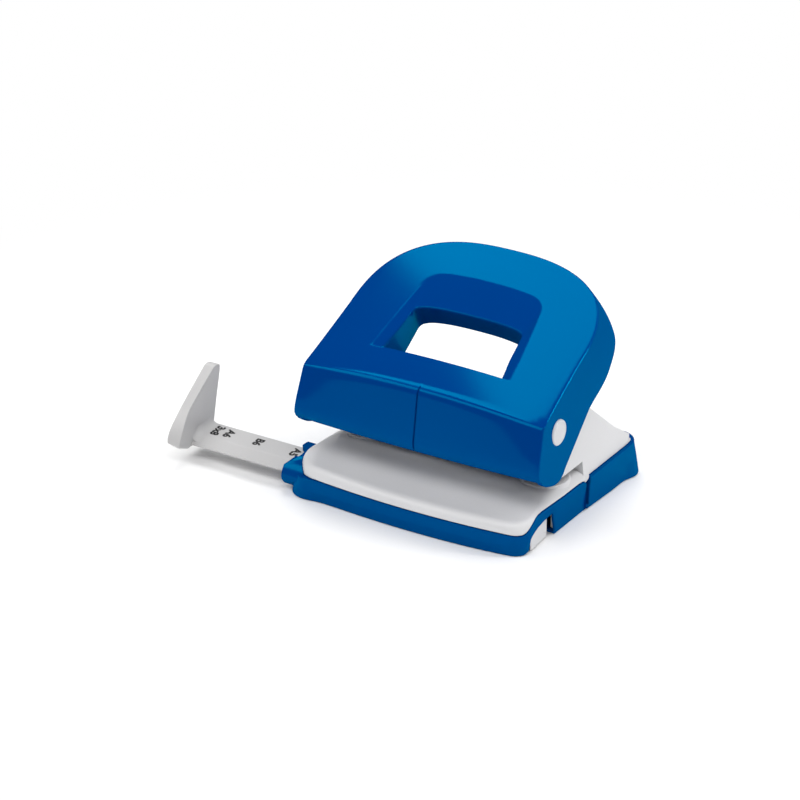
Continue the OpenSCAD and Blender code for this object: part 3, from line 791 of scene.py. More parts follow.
@dataclass
class Handle:
    """The rocking handle: crowned top, finger window and rest, skirt, cheeks and rim.

    The window's and the rest's edges are points across and along the sloping top, from its crease on
    back. The skirt's two profiles, at its ends and in its middle, and the cheek's lower edge are points
    of Y and Z.
    """

    half: float = 54.0
    taper: float = 0.05
    side_len: float = 33.7
    length: float = 76.5
    roundness: float = 2.73
    slope: float = 25.5
    depth: float = 21.5
    crown: float = 3.6
    wall: float = 2.2
    crease: Plan = (-26.5, 53.3)
    corner_r: float = 0.9
    flare: float = 1.4
    flare_at: float = 22.0
    back_flare: float = 2.2
    back_flare_v: Plan = (50.0, 72.0)
    groove: tuple[float, float, float] = (0.16, 0.26, 0.75)
    boss_r: Plan = (2.5, 6.0)
    boss_x: Plan = (48.3, 53.2)
    cap_r: float = 5.2
    cap_x: float = 52.4
    window_front: Plan = (26.7, 15.5)
    window_side: Sequence[Plan] = ((26.7, 16.5), (26.2, 20.0), (25.4, 25.0), (24.95, 30.0), (24.65, 34.0),
                                   (24.5, 36.4))
    window_back: Sequence[Plan] = ((24.5, 36.4), (24.2, 38.1), (23.4, 39.2), (22.2, 39.8), (20.0, 40.4),
                                   (17.0, 40.8), (12.0, 41.1), (6.0, 41.2), (0.0, 41.2))
    tube_rise: float = 0.25
    tube_back: float = 7.1
    rest_side: Sequence[Plan] = ((30.8, 16.0), (30.4, 21.0), (30.0, 26.0), (29.4, 31.0), (28.7, 37.0),
                                 (27.8, 44.0), (27.2, 47.5))
    rest_back: Sequence[Plan] = ((27.2, 47.5), (26.7, 50.4), (25.8, 52.9), (24.0, 55.0), (21.6, 56.4),
                                 (18.0, 57.2), (12.0, 57.6), (6.0, 57.8), (0.0, 57.8))
    rest_drop: float = 2.0
    pivot: Plan = AXLE
    ends: Sequence[Plan] = ((-26.5, 53.3), (-27.3, 52.2), (-27.9, 50.6), (-28.7, 48.0), (-29.8, 44.7),
                            (-30.9, 41.5), (-31.8, 38.2), (-32.2, 36.0), (-32.0, 34.0), (-30.8, 32.0))
    middle: Sequence[Plan] = ((-27.6, 57.2), (-28.6, 56.3), (-29.2, 55.0), (-29.6, 53.4), (-30.1, 50.0),
                              (-30.8, 45.5), (-31.6, 40.0), (-32.3, 36.0), (-32.3, 33.4), (-31.5, 31.5))
    lip: Plan = (2.5, -1.3)
    cheek: Sequence[Plan] = ((-30.8, 32.0), (-28.6, 30.1), (-25.4, 28.0), (-22.4, 26.8), (-20.2, 26.2),
                             (-18.2, 25.8), (-16.0, 25.65), (-14.1, 25.95), (-12.3, 27.0), (-10.1, 29.47),
                             (9.5, 46.7))
    meet: float = 29.65
    levels: Sequence[float] = (0.04, 0.09, 0.15, 0.22, 0.31, 0.44, 0.58, 0.7, 0.8, 0.88, 0.95)

    def crown_at(self, x: float) -> float:
        """Gives how high the crowned top stands above the crease's plane."""
        radius = (self.half ** 2 + self.crown ** 2) / (2 * self.crown)
        return math.sqrt(radius ** 2 - x ** 2) - radius + self.crown

    def on_top(self, x: float, v: float, w: float) -> Vector:
        """Places a point given across, along and above the sloping top."""
        c, s = math.cos(math.radians(self.slope)), math.sin(math.radians(self.slope))
        return Vector((x, self.crease[0] + v * c - w * s, self.crease[1] + v * s + w * c))

    def width_at(self, v: float) -> float:
        """Gives the half width of the straight part."""
        return self.half - self.taper * max(0.0, v)

    def _rim_half(self, counts: tuple[int, int, int]) -> list[tuple[Stretch, float, Plan]]:
        """Gives the right half of the rim's plan, from the front middle to the back middle.

        Args:
            counts: how many runs the corner, the side and the back have.

        Returns:
            Each place's stretch, its share of it, and where it lies across and along.
        """
        corner, side, back = counts
        flat = self.half - self.corner_r
        made: list[tuple[Stretch, float, Plan]] = []
        by_groove = [0.0, 0.16, 0.3, 0.42, 0.6, 1.2, 3.0, 5.5]
        for x in by_groove + list(range(9, 46, 4)) + [48.5, 51.0, flat]:
            made.append((Stretch.FRONT, x / flat, (x, 0.0)))
        for k in range(1, corner + 1):
            a = math.radians(90.0 * k / corner)
            made.append((Stretch.CORNER, k / corner,
                         (flat + self.corner_r * math.sin(a), self.corner_r * (1 - math.cos(a)))))
        for k in range(1, side + 1):
            v = lerp(self.corner_r, self.side_len, k / side)
            made.append((Stretch.SIDE, k / side, (self.width_at(v), v)))
        end, reach = self.width_at(self.side_len), self.length - self.side_len
        for k in range(1, back + 1):
            a = math.radians(90.0 * k / back)
            x = end * max(0.0, math.cos(a)) ** (2 / self.roundness) if k < back else 0.0
            v = self.side_len + reach * math.sin(a) ** (2 / self.roundness)
            made.append((Stretch.BACK, k / back, (x, v)))
        return made

    def _window_point(self, stretch: Stretch, share: float, grow: float) -> Plan:
        """Gives the window's edge opposite one place on the rim.

        Args:
            stretch: the rim's stretch.
            share: how far along it the place is.
            grow: how far the edge is drawn out.

        Returns:
            Where the edge lies across and along.
        """
        front, low = self.window_front
        tight = 1.0 + grow
        if stretch is Stretch.FRONT:
            return ((front - 1.0) * share, low - grow)
        if stretch is Stretch.CORNER:
            a = math.radians(90.0 * share)
            return (front - 1.0 + tight * math.sin(a), low - grow + tight * (1 - math.cos(a)))
        if stretch is Stretch.SIDE:
            x, v = flow(self.window_side, share)
            return (x + grow, v)
        x, v = flow(self.window_back, share)
        x1, v1 = flow(self.window_back, min(1.0, share + 0.02))
        x0, v0 = flow(self.window_back, max(0.0, share - 0.02))
        size = math.hypot(x1 - x0, v1 - v0) or 1.0
        return (x + grow * (v1 - v0) / size, v - grow * (x1 - x0) / size)

    def _rest_point(self, stretch: Stretch, share: float) -> Plan:
        """Gives the finger rest's outer edge opposite one place on the rim.

        Args:
            stretch: the rim's stretch.
            share: how far along it the place is.

        Returns:
            Where the edge lies across and along.
        """
        front, low = self.window_front
        if stretch is Stretch.FRONT:
            return (self._window_point(stretch, share, 0.0)[0], low - 0.15)
        if stretch is Stretch.CORNER:
            end = self.rest_side[0]
            return (lerp(front - 1.0, end[0], min(1.0, share * 1.4)), lerp(low - 0.15, end[1], share))
        return flow(self.rest_side if stretch is Stretch.SIDE else self.rest_back, share)

    def tube_foot(self, x: float, v: float) -> float:
        """Gives how low the window's tube reaches under the top at one place of its edge."""
        back = self.window_back[-1][1]
        return -self.tube_back - self.tube_rise * (back - v) - 0.0025 * x * x

    def flare_at_depth(self, down: float) -> float:
        """Gives how far the side stands out at a depth under the top."""
        return self.flare * math.sin(min(1.0, max(0.0, down) / self.flare_at) * math.pi / 2)

    def depth_of(self, y: float, z: float) -> float:
        """Gives how deep a point lies under the sloping top's plane."""
        c, s = math.cos(math.radians(self.slope)), math.sin(math.radians(self.slope))
        return (y - self.crease[0]) * s - (z - self.crease[1]) * c

    def stations(self) -> list[Station]:
        """Gives every place on the rim, all the way round."""
        half: list[Station] = []
        for stretch, share, rim in self._rim_half((5, 24, 40)):
            drop = {Stretch.FRONT: 0.0, Stretch.CORNER: share}.get(stretch, 1.0) * self.rest_drop
            half.append(Station(stretch, share, rim, self._rest_point(stretch, share),
                                self._window_point(stretch, share, 0.0), drop))
        mirror = [Station(s.stretch, s.share, (-s.rim[0], s.rim[1]), (-s.rest[0], s.rest[1]),
                          (-s.window[0], s.window[1]), s.drop) for s in reversed(half[1:-1])]
        return half + mirror

    def _groove(self, x: float, level: float) -> float:
        """Gives how deep the skirt's middle groove is at one place.

        Args:
            x: how far from the middle the place lies.
            level: 0 at the skirt's top and 1 at its lower edge.

        Returns:
            The depth.
        """
        flat, fade, deep = self.groove
        across = max(0.0, 1.0 - max(0.0, abs(x) - flat) / fade)
        return deep * ease(across) * ease((level + 0.02) / 0.05)

    def wall_point(self, place: Station, level: float) -> Vector:
        """Gives a point of the outer wall under one place of the rim.

        Args:
            place: the place on the rim.
            level: 0 at the top and 1 at the wall's lower edge.

        Returns:
            The point.
        """
        x, v = abs(place.rim[0]), place.rim[1]
        if place.stretch is Stretch.FRONT:
            point = self._skirt_point(x, level)
        elif place.stretch is Stretch.CORNER:
            point = self._corner_point(math.radians(90.0 * place.share), level)
        elif place.stretch is Stretch.SIDE and v < self.meet:
            point = self._cheek_point(x, v, level)
        else:
            point = self._back_point(x, v, self._outward(place), level)
        return Vector((place.side * point.x, point.y, point.z))

    def _skirt_point(self, x: float, level: float) -> Vector:
        """Gives a point of the skirt, which bows from its ends' profile to its middle one.

        Args:
            x: how far from the middle it lies.
            level: 0 at the top and 1 at the lower edge.

        Returns:
            The point on the right half.
        """
        (y0, z0), (y1, z1) = along(self.ends, level), along(self.middle, level)
        lean = self.flare_at_depth(self.depth_of(y0, z0))
        share = 1.0 - min(1.0, (x / (self.half - self.corner_r)) ** 2)
        return Vector((x * (1.0 + lean / self.half), lerp(y0, y1, share) + self._groove(x, level),
                       lerp(z0, z1, share)))

    def _corner_point(self, turn: float, level: float) -> Vector:
        """Gives a point of the rounding between skirt and cheek.

        Args:
            turn: how far round it lies, in radians.
            level: 0 at the top and 1 at the lower edge.

        Returns:
            The point on the right half.
        """
        y, z = along(self.ends, level)
        r = self.corner_r
        out = self.half + self.flare_at_depth(self.depth_of(y, z)) - r + r * math.sin(turn)
        return Vector((out, y + r * (1 - math.cos(turn)), z))

    def _cheek_point(self, x: float, v: float, level: float) -> Vector:
        """Gives a point of the cheek, whose front edge follows the skirt's profile.

        Args:
            x: half the rim's width there.
            v: how far along the top it lies.
            level: 0 at the top and 1 at the cheek's lower edge.

        Returns:
            The point on the right half.
        """
        share = (v - self.corner_r) / (self.meet - self.corner_r)
        top = self.on_top(x, v, 0.0)
        foot = by_length(self.cheek, share)
        low = along(self.ends, level)
        (y0, z0), (y1, z1) = self.ends[0], self.ends[-1]
        keep = (1.0 - share) ** 3
        y = lerp(top.y, foot[0], level) + (low[0] - lerp(y0, y1, level)) * keep
        z = lerp(top.z, foot[1], level) + (low[1] - lerp(z0, z1, level)) * keep
        return Vector((x + self.flare_at_depth(self.depth_of(y, z)), y, z))

    def _back_point(self, x: float, v: float, way: Plan, level: float) -> Vector:
        """Gives a point of the wall behind the cheeks, which flares out more towards the back.

        Args:
            x: how far from the middle the rim lies.
            v: how far along the top it lies.
            way: the outward direction there.
            level: 0 at the top and 1 at the wall's lower edge.

        Returns:
            The point on the right half.
        """
        more = 1.0 + self.back_flare * rise(v, *self.back_flare_v)
        out = self.flare_at_depth(self.depth * level) * more
        return self.on_top(x + way[0] * out, v + way[1] * out, lerp(self.crown_at(x), -self.depth, level))

    def _outward(self, place: Station) -> Plan:
        """Gives the outward direction in plan at one place.

        Args:
            place: the place on the rim.

        Returns:
            The direction across and along, as on the right half.
        """
        x, v = abs(place.rim[0]), place.rim[1]
        if place.stretch is Stretch.SIDE:
            return (1.0, 0.0)
        end, reach, n = self.width_at(self.side_len), self.length - self.side_len, self.roundness
        gx = (x / end) ** (n - 1) / end
        gv = ((v - self.side_len) / reach) ** (n - 1) / reach
        size = math.hypot(gx, gv) or 1.0
        return (gx / size, gv / size)

    def inward(self, place: Station) -> Vector:
        """Gives the way from the outer to the inner wall at one place.

        Args:
            place: the place on the rim.

        Returns:
            The way, one wall long.
        """
        if place.stretch is Stretch.FRONT:
            return Vector((0.0, self.wall, 0.0))
        if place.stretch is Stretch.CORNER:
            a = math.radians(90.0 * place.share)
            return Vector((-place.side * self.wall * math.sin(a), self.wall * math.cos(a), 0.0))
        nx, nv = self._outward(place)
        c, s = math.cos(math.radians(self.slope)), math.sin(math.radians(self.slope))
        return Vector((-place.side * nx * self.wall, -nv * self.wall * c, -nv * self.wall * s))

    def section(self, place: Station) -> Loop:
        """Gives the section of the shell at one place.

        Args:
            place: the place on the rim.

        Returns:
            The closed section, from the window out over the top, down the wall and back inside.
        """
        on_side = place.stretch is Stretch.SIDE
        x, v = place.rim
        rim = self.on_top(x, v, self.crown_at(x)) if on_side else self.wall_point(place, 0.0)
        round_rim = 0.3 if place.stretch in (Stretch.FRONT, Stretch.CORNER) else 1.3
        outer = [self.wall_point(place, t) for t in self.levels]
        foot = self.wall_point(place, 1.0)
        step = self.inward(place)
        keep = {Stretch.FRONT: 1.0, Stretch.CORNER: 1.0 - place.share}.get(place.stretch, 0.0)
        drop = Vector((0.0, self.lip[0] - self.wall, self.lip[1])) * keep
        wall: Marked = [(rim, round_rim)] + [(p, 0.0) for p in outer]
        wall += [(foot, 1.0), (foot + step + drop, 0.5)]
        wall += [(p + step, 0.0) for p in reversed(outer[2:])]
        return round_loop(self._top_line(place) + wall + self._under_line(place, rim + step))

    def _top_line(self, place: Station) -> Marked:
        """Gives the section from the window's lower edge up and out over the top.

        Args:
            place: the place on the rim.

        Returns:
            The marked points, without the rim's own.
        """
        (wx, wv), (rx, rv), (ox, ov) = place.window, place.rest, place.rim
        low = self.tube_foot(wx, wv)
        lip = self.crown_at(wx) - place.drop
        points: Marked = [
            (self.on_top(wx, wv, low), 0.5),
            (self.on_top(wx, wv, lerp(low, lip, 0.55)), 0.0),
            (self.on_top(wx, wv, lip), 0.9),
            (self.on_top(rx, rv, self.crown_at(rx)), 1.3),
        ]
        for t in (0.08, 0.2, 0.4, 0.6, 0.8, 0.92):
            x, v = lerp(rx, ox, t), lerp(rv, ov, t)
            points.append((self.on_top(x, v, self.crown_at(x)), 0.0))
        return points

    def _under_line(self, place: Station, inner: Vector) -> Marked:
        """Gives the section under the top, from the wall in to the window's tube and down it.

        Args:
            place: the place on the rim.
            inner: the point inside the wall, level with the rim.

        Returns:
            The marked points.
        """
        x, v = self._window_point(place.stretch, place.share, self.wall)
        corner = inner + self.on_top(0.0, 0.0, -self.wall - 0.4) - self.on_top(0.0, 0.0, 0.0)
        hub = self.on_top(place.side * x, v, self.crown_at(x) - place.drop - self.wall)
        return [(corner, 1.2), (corner.lerp(hub, 0.3), 0.0), (corner.lerp(hub, 0.7), 0.0), (hub, 1.0),
                (self.on_top(place.side * x, v, self.tube_foot(*place.window)), 0.5)]

    def build_shell(self) -> None:
        """Builds the one-piece moulded shell."""
        piece = Piece("handle_shell")
        piece.skin([self.section(place) for place in self.stations()])
        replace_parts(piece.finish(Dress.HANDLE), "handle")

    def build_bosses(self) -> None:
        """Builds the bosses that carry the axle inside the cheeks."""
        for name, side in SIDES:
            low, high = sorted(side * x for x in self.boss_x)
            line = tube_line(self.boss_r, (low, high))
            Piece(f"axle_boss_{name}").lathe(line, (0.0, *self.pivot), "X").finish(Dress.HANDLE, 0.3)

    def build_caps(self) -> None:
        """Builds the round caps on the axle's ends, each with its raised rim."""
        r = self.cap_r
        profile = [(0.0, 0.0), (r, 0.0), (r, 1.9), (r - 0.15, 2.3), (r - 0.5, 2.55), (r - 0.95, 2.58),
                   (r - 1.2, 2.46), (r - 1.5, 2.42), (2.0, 2.5), (0.0, 2.52)]
        for name, side in SIDES:
            turned = [(radius, side * (self.cap_x + height)) for radius, height in profile]
            cap = Piece(f"axle_cap_face_{name}").lathe(turned, (0.0, *self.pivot), "X", 72)
            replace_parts(cap.finish(Dress.CAP), f"axle_cap_{name}")

    def build(self) -> None:
        """Builds every piece of the handle."""
        self.build_shell()
        self.build_bosses()
        self.build_caps()


# ---- Base: what tray and housing share --------------------------------------


@dataclass(frozen=True)
class BasePlan:
    """Plan and parting line that the chip tray and the housing share.

    The front wall bows forward, the left side swells towards the front, and each side has a slit, behind
    which the tray's wall stands a little proud. The parting line is given by Y and Z.
    """

    half: float = 51.5
    front: float = 38.0
    back: float = 56.7
    corner_r: float = 8.0
    bow: float = 3.6
    swell: float = 2.2
    slit: Plan = (12.95, 15.1)
    proud: float = 0.6
    swell_y: Plan = (10.0, -23.0)
    edge: Sequence[Plan] = ((-38.0, 8.6), (-34.2, 8.6), (-32.6, 8.8), (-31.2, 9.8), (-29.9, 11.3),
                            (-28.4, 12.9), (-26.8, 14.0), (-24.8, 14.7), (-22.0, 14.85), (-17.8, 14.65),
                            (-4.7, 14.0), (7.0, 13.9), (11.0, 13.4), (12.3, 12.9), (12.95, 12.1),
                            (15.1, 12.9), (15.5, 13.7), (16.4, 14.1), (20.0, 14.2), (45.0, 14.3),
                            (60.0, 14.7))

    def outline(self, inset: float = 0.0, extra: Sequence[float] = ()) -> Outline:
        """Gives the outline, from the front middle round the right side to the back middle and on.

        Args:
            inset: how far it is drawn in.
            extra: places along Y on the sides that need a point.

        Returns:
            The closed outline.
        """
        r = self.corner_r - inset
        half = self.half - inset
        bow_r = (self.half ** 2 + self.bow ** 2) / (2 * self.bow)
        bow_y = bow_r - self.front
        cx = half - r
        cy = bow_y - math.sqrt((bow_r - inset - r) ** 2 - cx ** 2)
        lean = math.degrees(math.asin(cx / (bow_r - inset - r)))
        bow_xs = [i / 14 * cx * 1.012 for i in range(15)]
        half_line: Outline = [(x, bow_y - math.sqrt((bow_r - inset) ** 2 - x ** 2)) for x in bow_xs]
        half_line += arc((cx, cy), r, -90.0 + lean, 0.0, 24)[1:]
        back = self.back - inset
        ys = sorted(set([lerp(cy, back - r, k / 30) for k in range(1, 30)] + list(extra)))
        half_line += [(half, y) for y in ys if cy + 0.01 < y < back - r - 0.01]
        half_line += arc((cx, back - r), r, 0.0, 90.0, 12)
        half_line += [(cx * (1 - k / 6), back) for k in range(1, 7)]
        left = [(-x - self.swell * self.swelling(y) * (x / self.half) ** 6, y)
                for x, y in reversed(half_line[1:-1])]
        return half_line + left

    def swelling(self, y: float) -> float:
        """Gives how far the left side has swelled out towards the front, from 0 to 1."""
        return rise(y, *self.swell_y)

    def left_at(self, y: float, inset: float) -> float:
        """Gives X of the left side at one Y."""
        line = [p for p in self.outline(inset) if p[0] < 0]
        return min(line, key=lambda p: abs(p[1] - y))[0]

    def parting(self, y: float) -> float:
        """Gives the height of the line between tray and housing."""
        return height_at(self.edge, y)

    def edge_marks(self) -> list[float]:
        """Gives the places along the sides where the parting line bends."""
        return [y for y, _ in self.edge[5:-1]]


# ---- Chip tray --------------------------------------------------------------


@dataclass
class ChipTray:
    """The hinged tray: walls, floor, catch notch, collar for the rail, ribs and knuckles.

    The notch's upper edge and the collar's outline are points of Y and Z, and the thumb crescent and the
    squarer corner are each given by X, Y and a radius.
    """

    plan: BasePlan = field(default_factory=BasePlan)
    wall: float = 1.8
    floor: float = 1.5
    slit_bottom: float = 2.6
    notch_line: Sequence[Plan] = ((-33.9, 0.0), (-32.6, 0.15), (-31.3, 0.5), (-30.2, 1.1), (-29.65, 1.8),
                                  (-29.4, 3.4), (-29.1, 5.0), (-28.4, 6.1), (-27.1, 7.0), (-25.4, 7.8),
                                  (-23.2, 8.6), (-19.2, 9.35), (-15.2, 9.75), (-11.8, 9.8), (-9.8, 0.0))
    notch_x: Plan = (40.0, 45.0)
    collar_end: float = -59.5
    collar_line: Sequence[Plan] = ((-33.9, 3.6), (-32.8, 2.4), (-31.0, 1.8), (-15.8, 1.8), (-14.6, 3.0),
                                   (-14.6, 12.2), (-15.6, 13.3), (-17.0, 13.5), (-23.0, 13.5), (-28.0, 13.2),
                                   (-31.4, 12.2), (-33.5, 10.2), (-34.7, 8.3), (-35.2, 6.6), (-35.0, 5.0))
    thumb: tuple[float, float, float] = (-62.9, -26.3, 7.5)
    foot_left: float = 2.0
    foot_right_y: Plan = (9.0, 40.0)
    foot_back: float = 2.2
    foot_back_y: Plan = (42.0, 52.0)
    belly_y: Plan = (-20.0, -32.0)
    square: tuple[float, float, float] = (-50.5, -32.5, 6.0)
    square_out: float = 2.1
    rib: float = 1.2
    rib_x: Plan = (-49.8, 5.0)
    rib_foot: float = 1.4
    knuckles: Sequence[Plan] = ((20.0, 26.0), (44.0, 50.0))
    knuckle_r: Plan = (1.0, 2.2)
    web_x: Plan = (-51.4, -49.8)
    web_z: Plan = (12.0, 15.4)

    def bottom(self, x: float, y: float) -> float:
        """Gives the height of the wall's lower edge."""
        if x < self.notch_x[0] or y < self.notch_line[0][0]:
            return 0.0
        return height_at(self.notch_line, y)

    def foot_out(self, x: float, y: float) -> float:
        """Gives how far the wall's lower edge stands out.

        Args:
            x: the place across.
            y: the place along.

        Returns:
            How far it stands out there, less than 0 where the wall leans in.
        """
        side = min(1.0, abs(x) / self.plan.half) ** 6
        out = self.foot_left * self.plan.swelling(y) if x < 0 else rise(y, *self.foot_right_y) - 1.0
        return side * out + self.foot_back * rise(y, *self.foot_back_y) - 0.2 * self.corner(x, y)

    def corner(self, x: float, y: float) -> float:
        """Gives how near a place is to the squarer corner under the rail, 1 being on it."""
        cx, cy, reach = self.square
        return math.exp(-((x - cx) / reach) ** 2 - ((y - cy) / reach) ** 2)

    def wall_section(self, outer: Plan, inner: Plan, low: float, high: float, proud: float) -> Loop:
        """Gives the section of the wall at one place.

        Args:
            outer: the place on the outer outline.
            inner: the place on the inner outline.
            low: the height of the wall's lower edge.
            high: the height of its upper edge.
            proud: how far it stands out from the outline.

        Returns:
            The closed section.
        """
        way = Vector((outer[0] - inner[0], outer[1] - inner[1], 0.0)).normalized()
        out = Vector((outer[0], outer[1], 0.0)) + way * (proud + self.square_out * self.corner(*outer))
        foot = out + way * self.foot_out(*outer)
        ins = Vector((inner[0], inner[1], 0.0))
        up = Vector((0.0, 0.0, 1.0))
        front = rise(outer[1], *self.belly_y)
        belly = out.lerp(foot, 0.5) + way * (0.45 * front)
        points = [foot + up * low, belly + up * lerp(low, high, 0.5), out + up * (high - 1.0),
                  out + up * high, ins + up * high, ins + up * (high - 1.0), ins + up * low]
        round_foot = 0.9 if low < 0.1 else 0.2
        return round_loop(list(zip(points, (round_foot, 0.05 + 0.5 * front, 0.0, 0.4, 0.4, 0.0, 0.2))))

    def build_walls(self) -> None:
        """Builds the ring of walls with its notch and its slits."""
        slit = self.plan.slit
        marks = both_sides(slit, 0.004) + [y for y, _ in self.notch_line] + self.plan.edge_marks()
        outer = self.plan.outline(0.0, marks)
        inner = self.plan.outline(self.wall, marks)
        rows = []
        for place, back in zip(outer, inner):
            x, y = place
            proud = self.plan.proud if y > slit[1] else 0.0
            high = self.slit_bottom if slit[0] < y < slit[1] else self.plan.parting(y)
            rows.append(self.wall_section(place, back, self.bottom(x, y), high, proud))
        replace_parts(Piece("tray_walls").skin(rows).finish(Dress.TRAY), "chip_tray")

    def build_floor(self) -> None:
        """Builds the floor with the recess at the catch notch."""
        low, high = self.notch_line[0][0], self.notch_line[-1][0]
        edge = self.plan.outline(1.2, both_sides((high,), 0.01))
        beside, depth = self.notch_x
        shaped = [(min(x, depth) if low <= y <= high and x > beside else x, y) for x, y in edge]
        levels = ((0.0, 0.45), (0.02, 0.0), (self.floor, 0.0))
        rows = [[Vector((x * (1 - inset / 60), y - inset * math.copysign(0.5, y), z)) for x, y in shaped]
                for z, inset in levels]
        Piece("tray_floor").prism(rows).finish(Dress.TRAY)

    def _rail_way(self, grow: float) -> Outline:
        """Gives the section of the rail's way, drawn out by grow."""
        (y0, y1), (z0, z1) = RAIL_Y, RAIL_Z
        return [(y0 - grow, z0 - grow), (y1 + grow, z0 - grow), (y1 + grow, z1 + grow),
                (y0 + 5.1, z1 - 0.8 + grow), (y0 - grow, z0 + 0.8)]

    def build_collar(self) -> None:
        """Builds the collar that carries the rail, with its thumb crescent."""
        end = self.collar_end
        way = Piece("way").prism([side_section(self._rail_way(RAIL_GAP), x) for x in (end - 2.0, -42.0)])
        x, y, r = self.thumb
        scoop = Piece("scoop").lathe(tube_line((0.0, r), (RAIL_Z[1] - RAIL_GAP, 20.0)), (x, y, 0.0), "Z", 96)
        root = []
        for y, z in self.collar_line:
            sunk = 0.9 if z < self.plan.parting(y) - 0.4 else -0.1
            root.append(Vector((self.plan.left_at(max(-33.6, y), sunk), y, z)))
        piece = Piece("tray_collar").prism([side_section(list(self.collar_line), end), root])
        piece.finish(Dress.TRAY, 0.6, cuts=(way.solid(), scoop.solid()))

    def build_inside(self) -> None:
        """Builds the ribs that guide the rail and the knuckles of the hinge."""
        (y0, y1), (z0, _) = RAIL_Y, RAIL_Z
        (x0, x1), foot, thick = self.rib_x, self.rib_foot, self.rib
        along_rail, across_rail = (foot, z0 + 1.0), (foot, z0 - RAIL_GAP)
        front, back = y0 - RAIL_GAP, y1 + RAIL_GAP
        bars = [((x0, x1), (front - thick, front), along_rail),
                ((x0, x1), (back, back + thick), along_rail),
                ((x1 - thick, x1), (y0 - 0.4, y1 + 0.4), across_rail),
                ((x0, x0 + thick), (y0 - 0.4, y1 + 0.4), across_rail)]
        piece = Piece("tray_ribs")
        for xs, ys, zs in bars:
            piece.prism([side_section(box_line(ys, zs), x) for x in xs])
        piece.finish(Dress.TRAY, 0.25)
        for k, ends in enumerate(self.knuckles, 1):
            knuckle = Piece(f"tray_knuckle_{k}").lathe(tube_line(self.knuckle_r, ends), TRAY_HINGE, "Y", 40)
            knuckle.finish(Dress.TRAY, 0.3)
            web = [side_section(box_line(ends, self.web_z), x) for x in self.web_x]
            Piece(f"tray_knuckle_web_{k}").prism(web).finish(Dress.TRAY, 0.25)

    def build(self) -> None:
        """Builds every piece of the tray."""
        self.build_walls()
        self.build_floor()
        self.build_collar()
        self.build_inside()


# ---- Housing ----------------------------------------------------------------


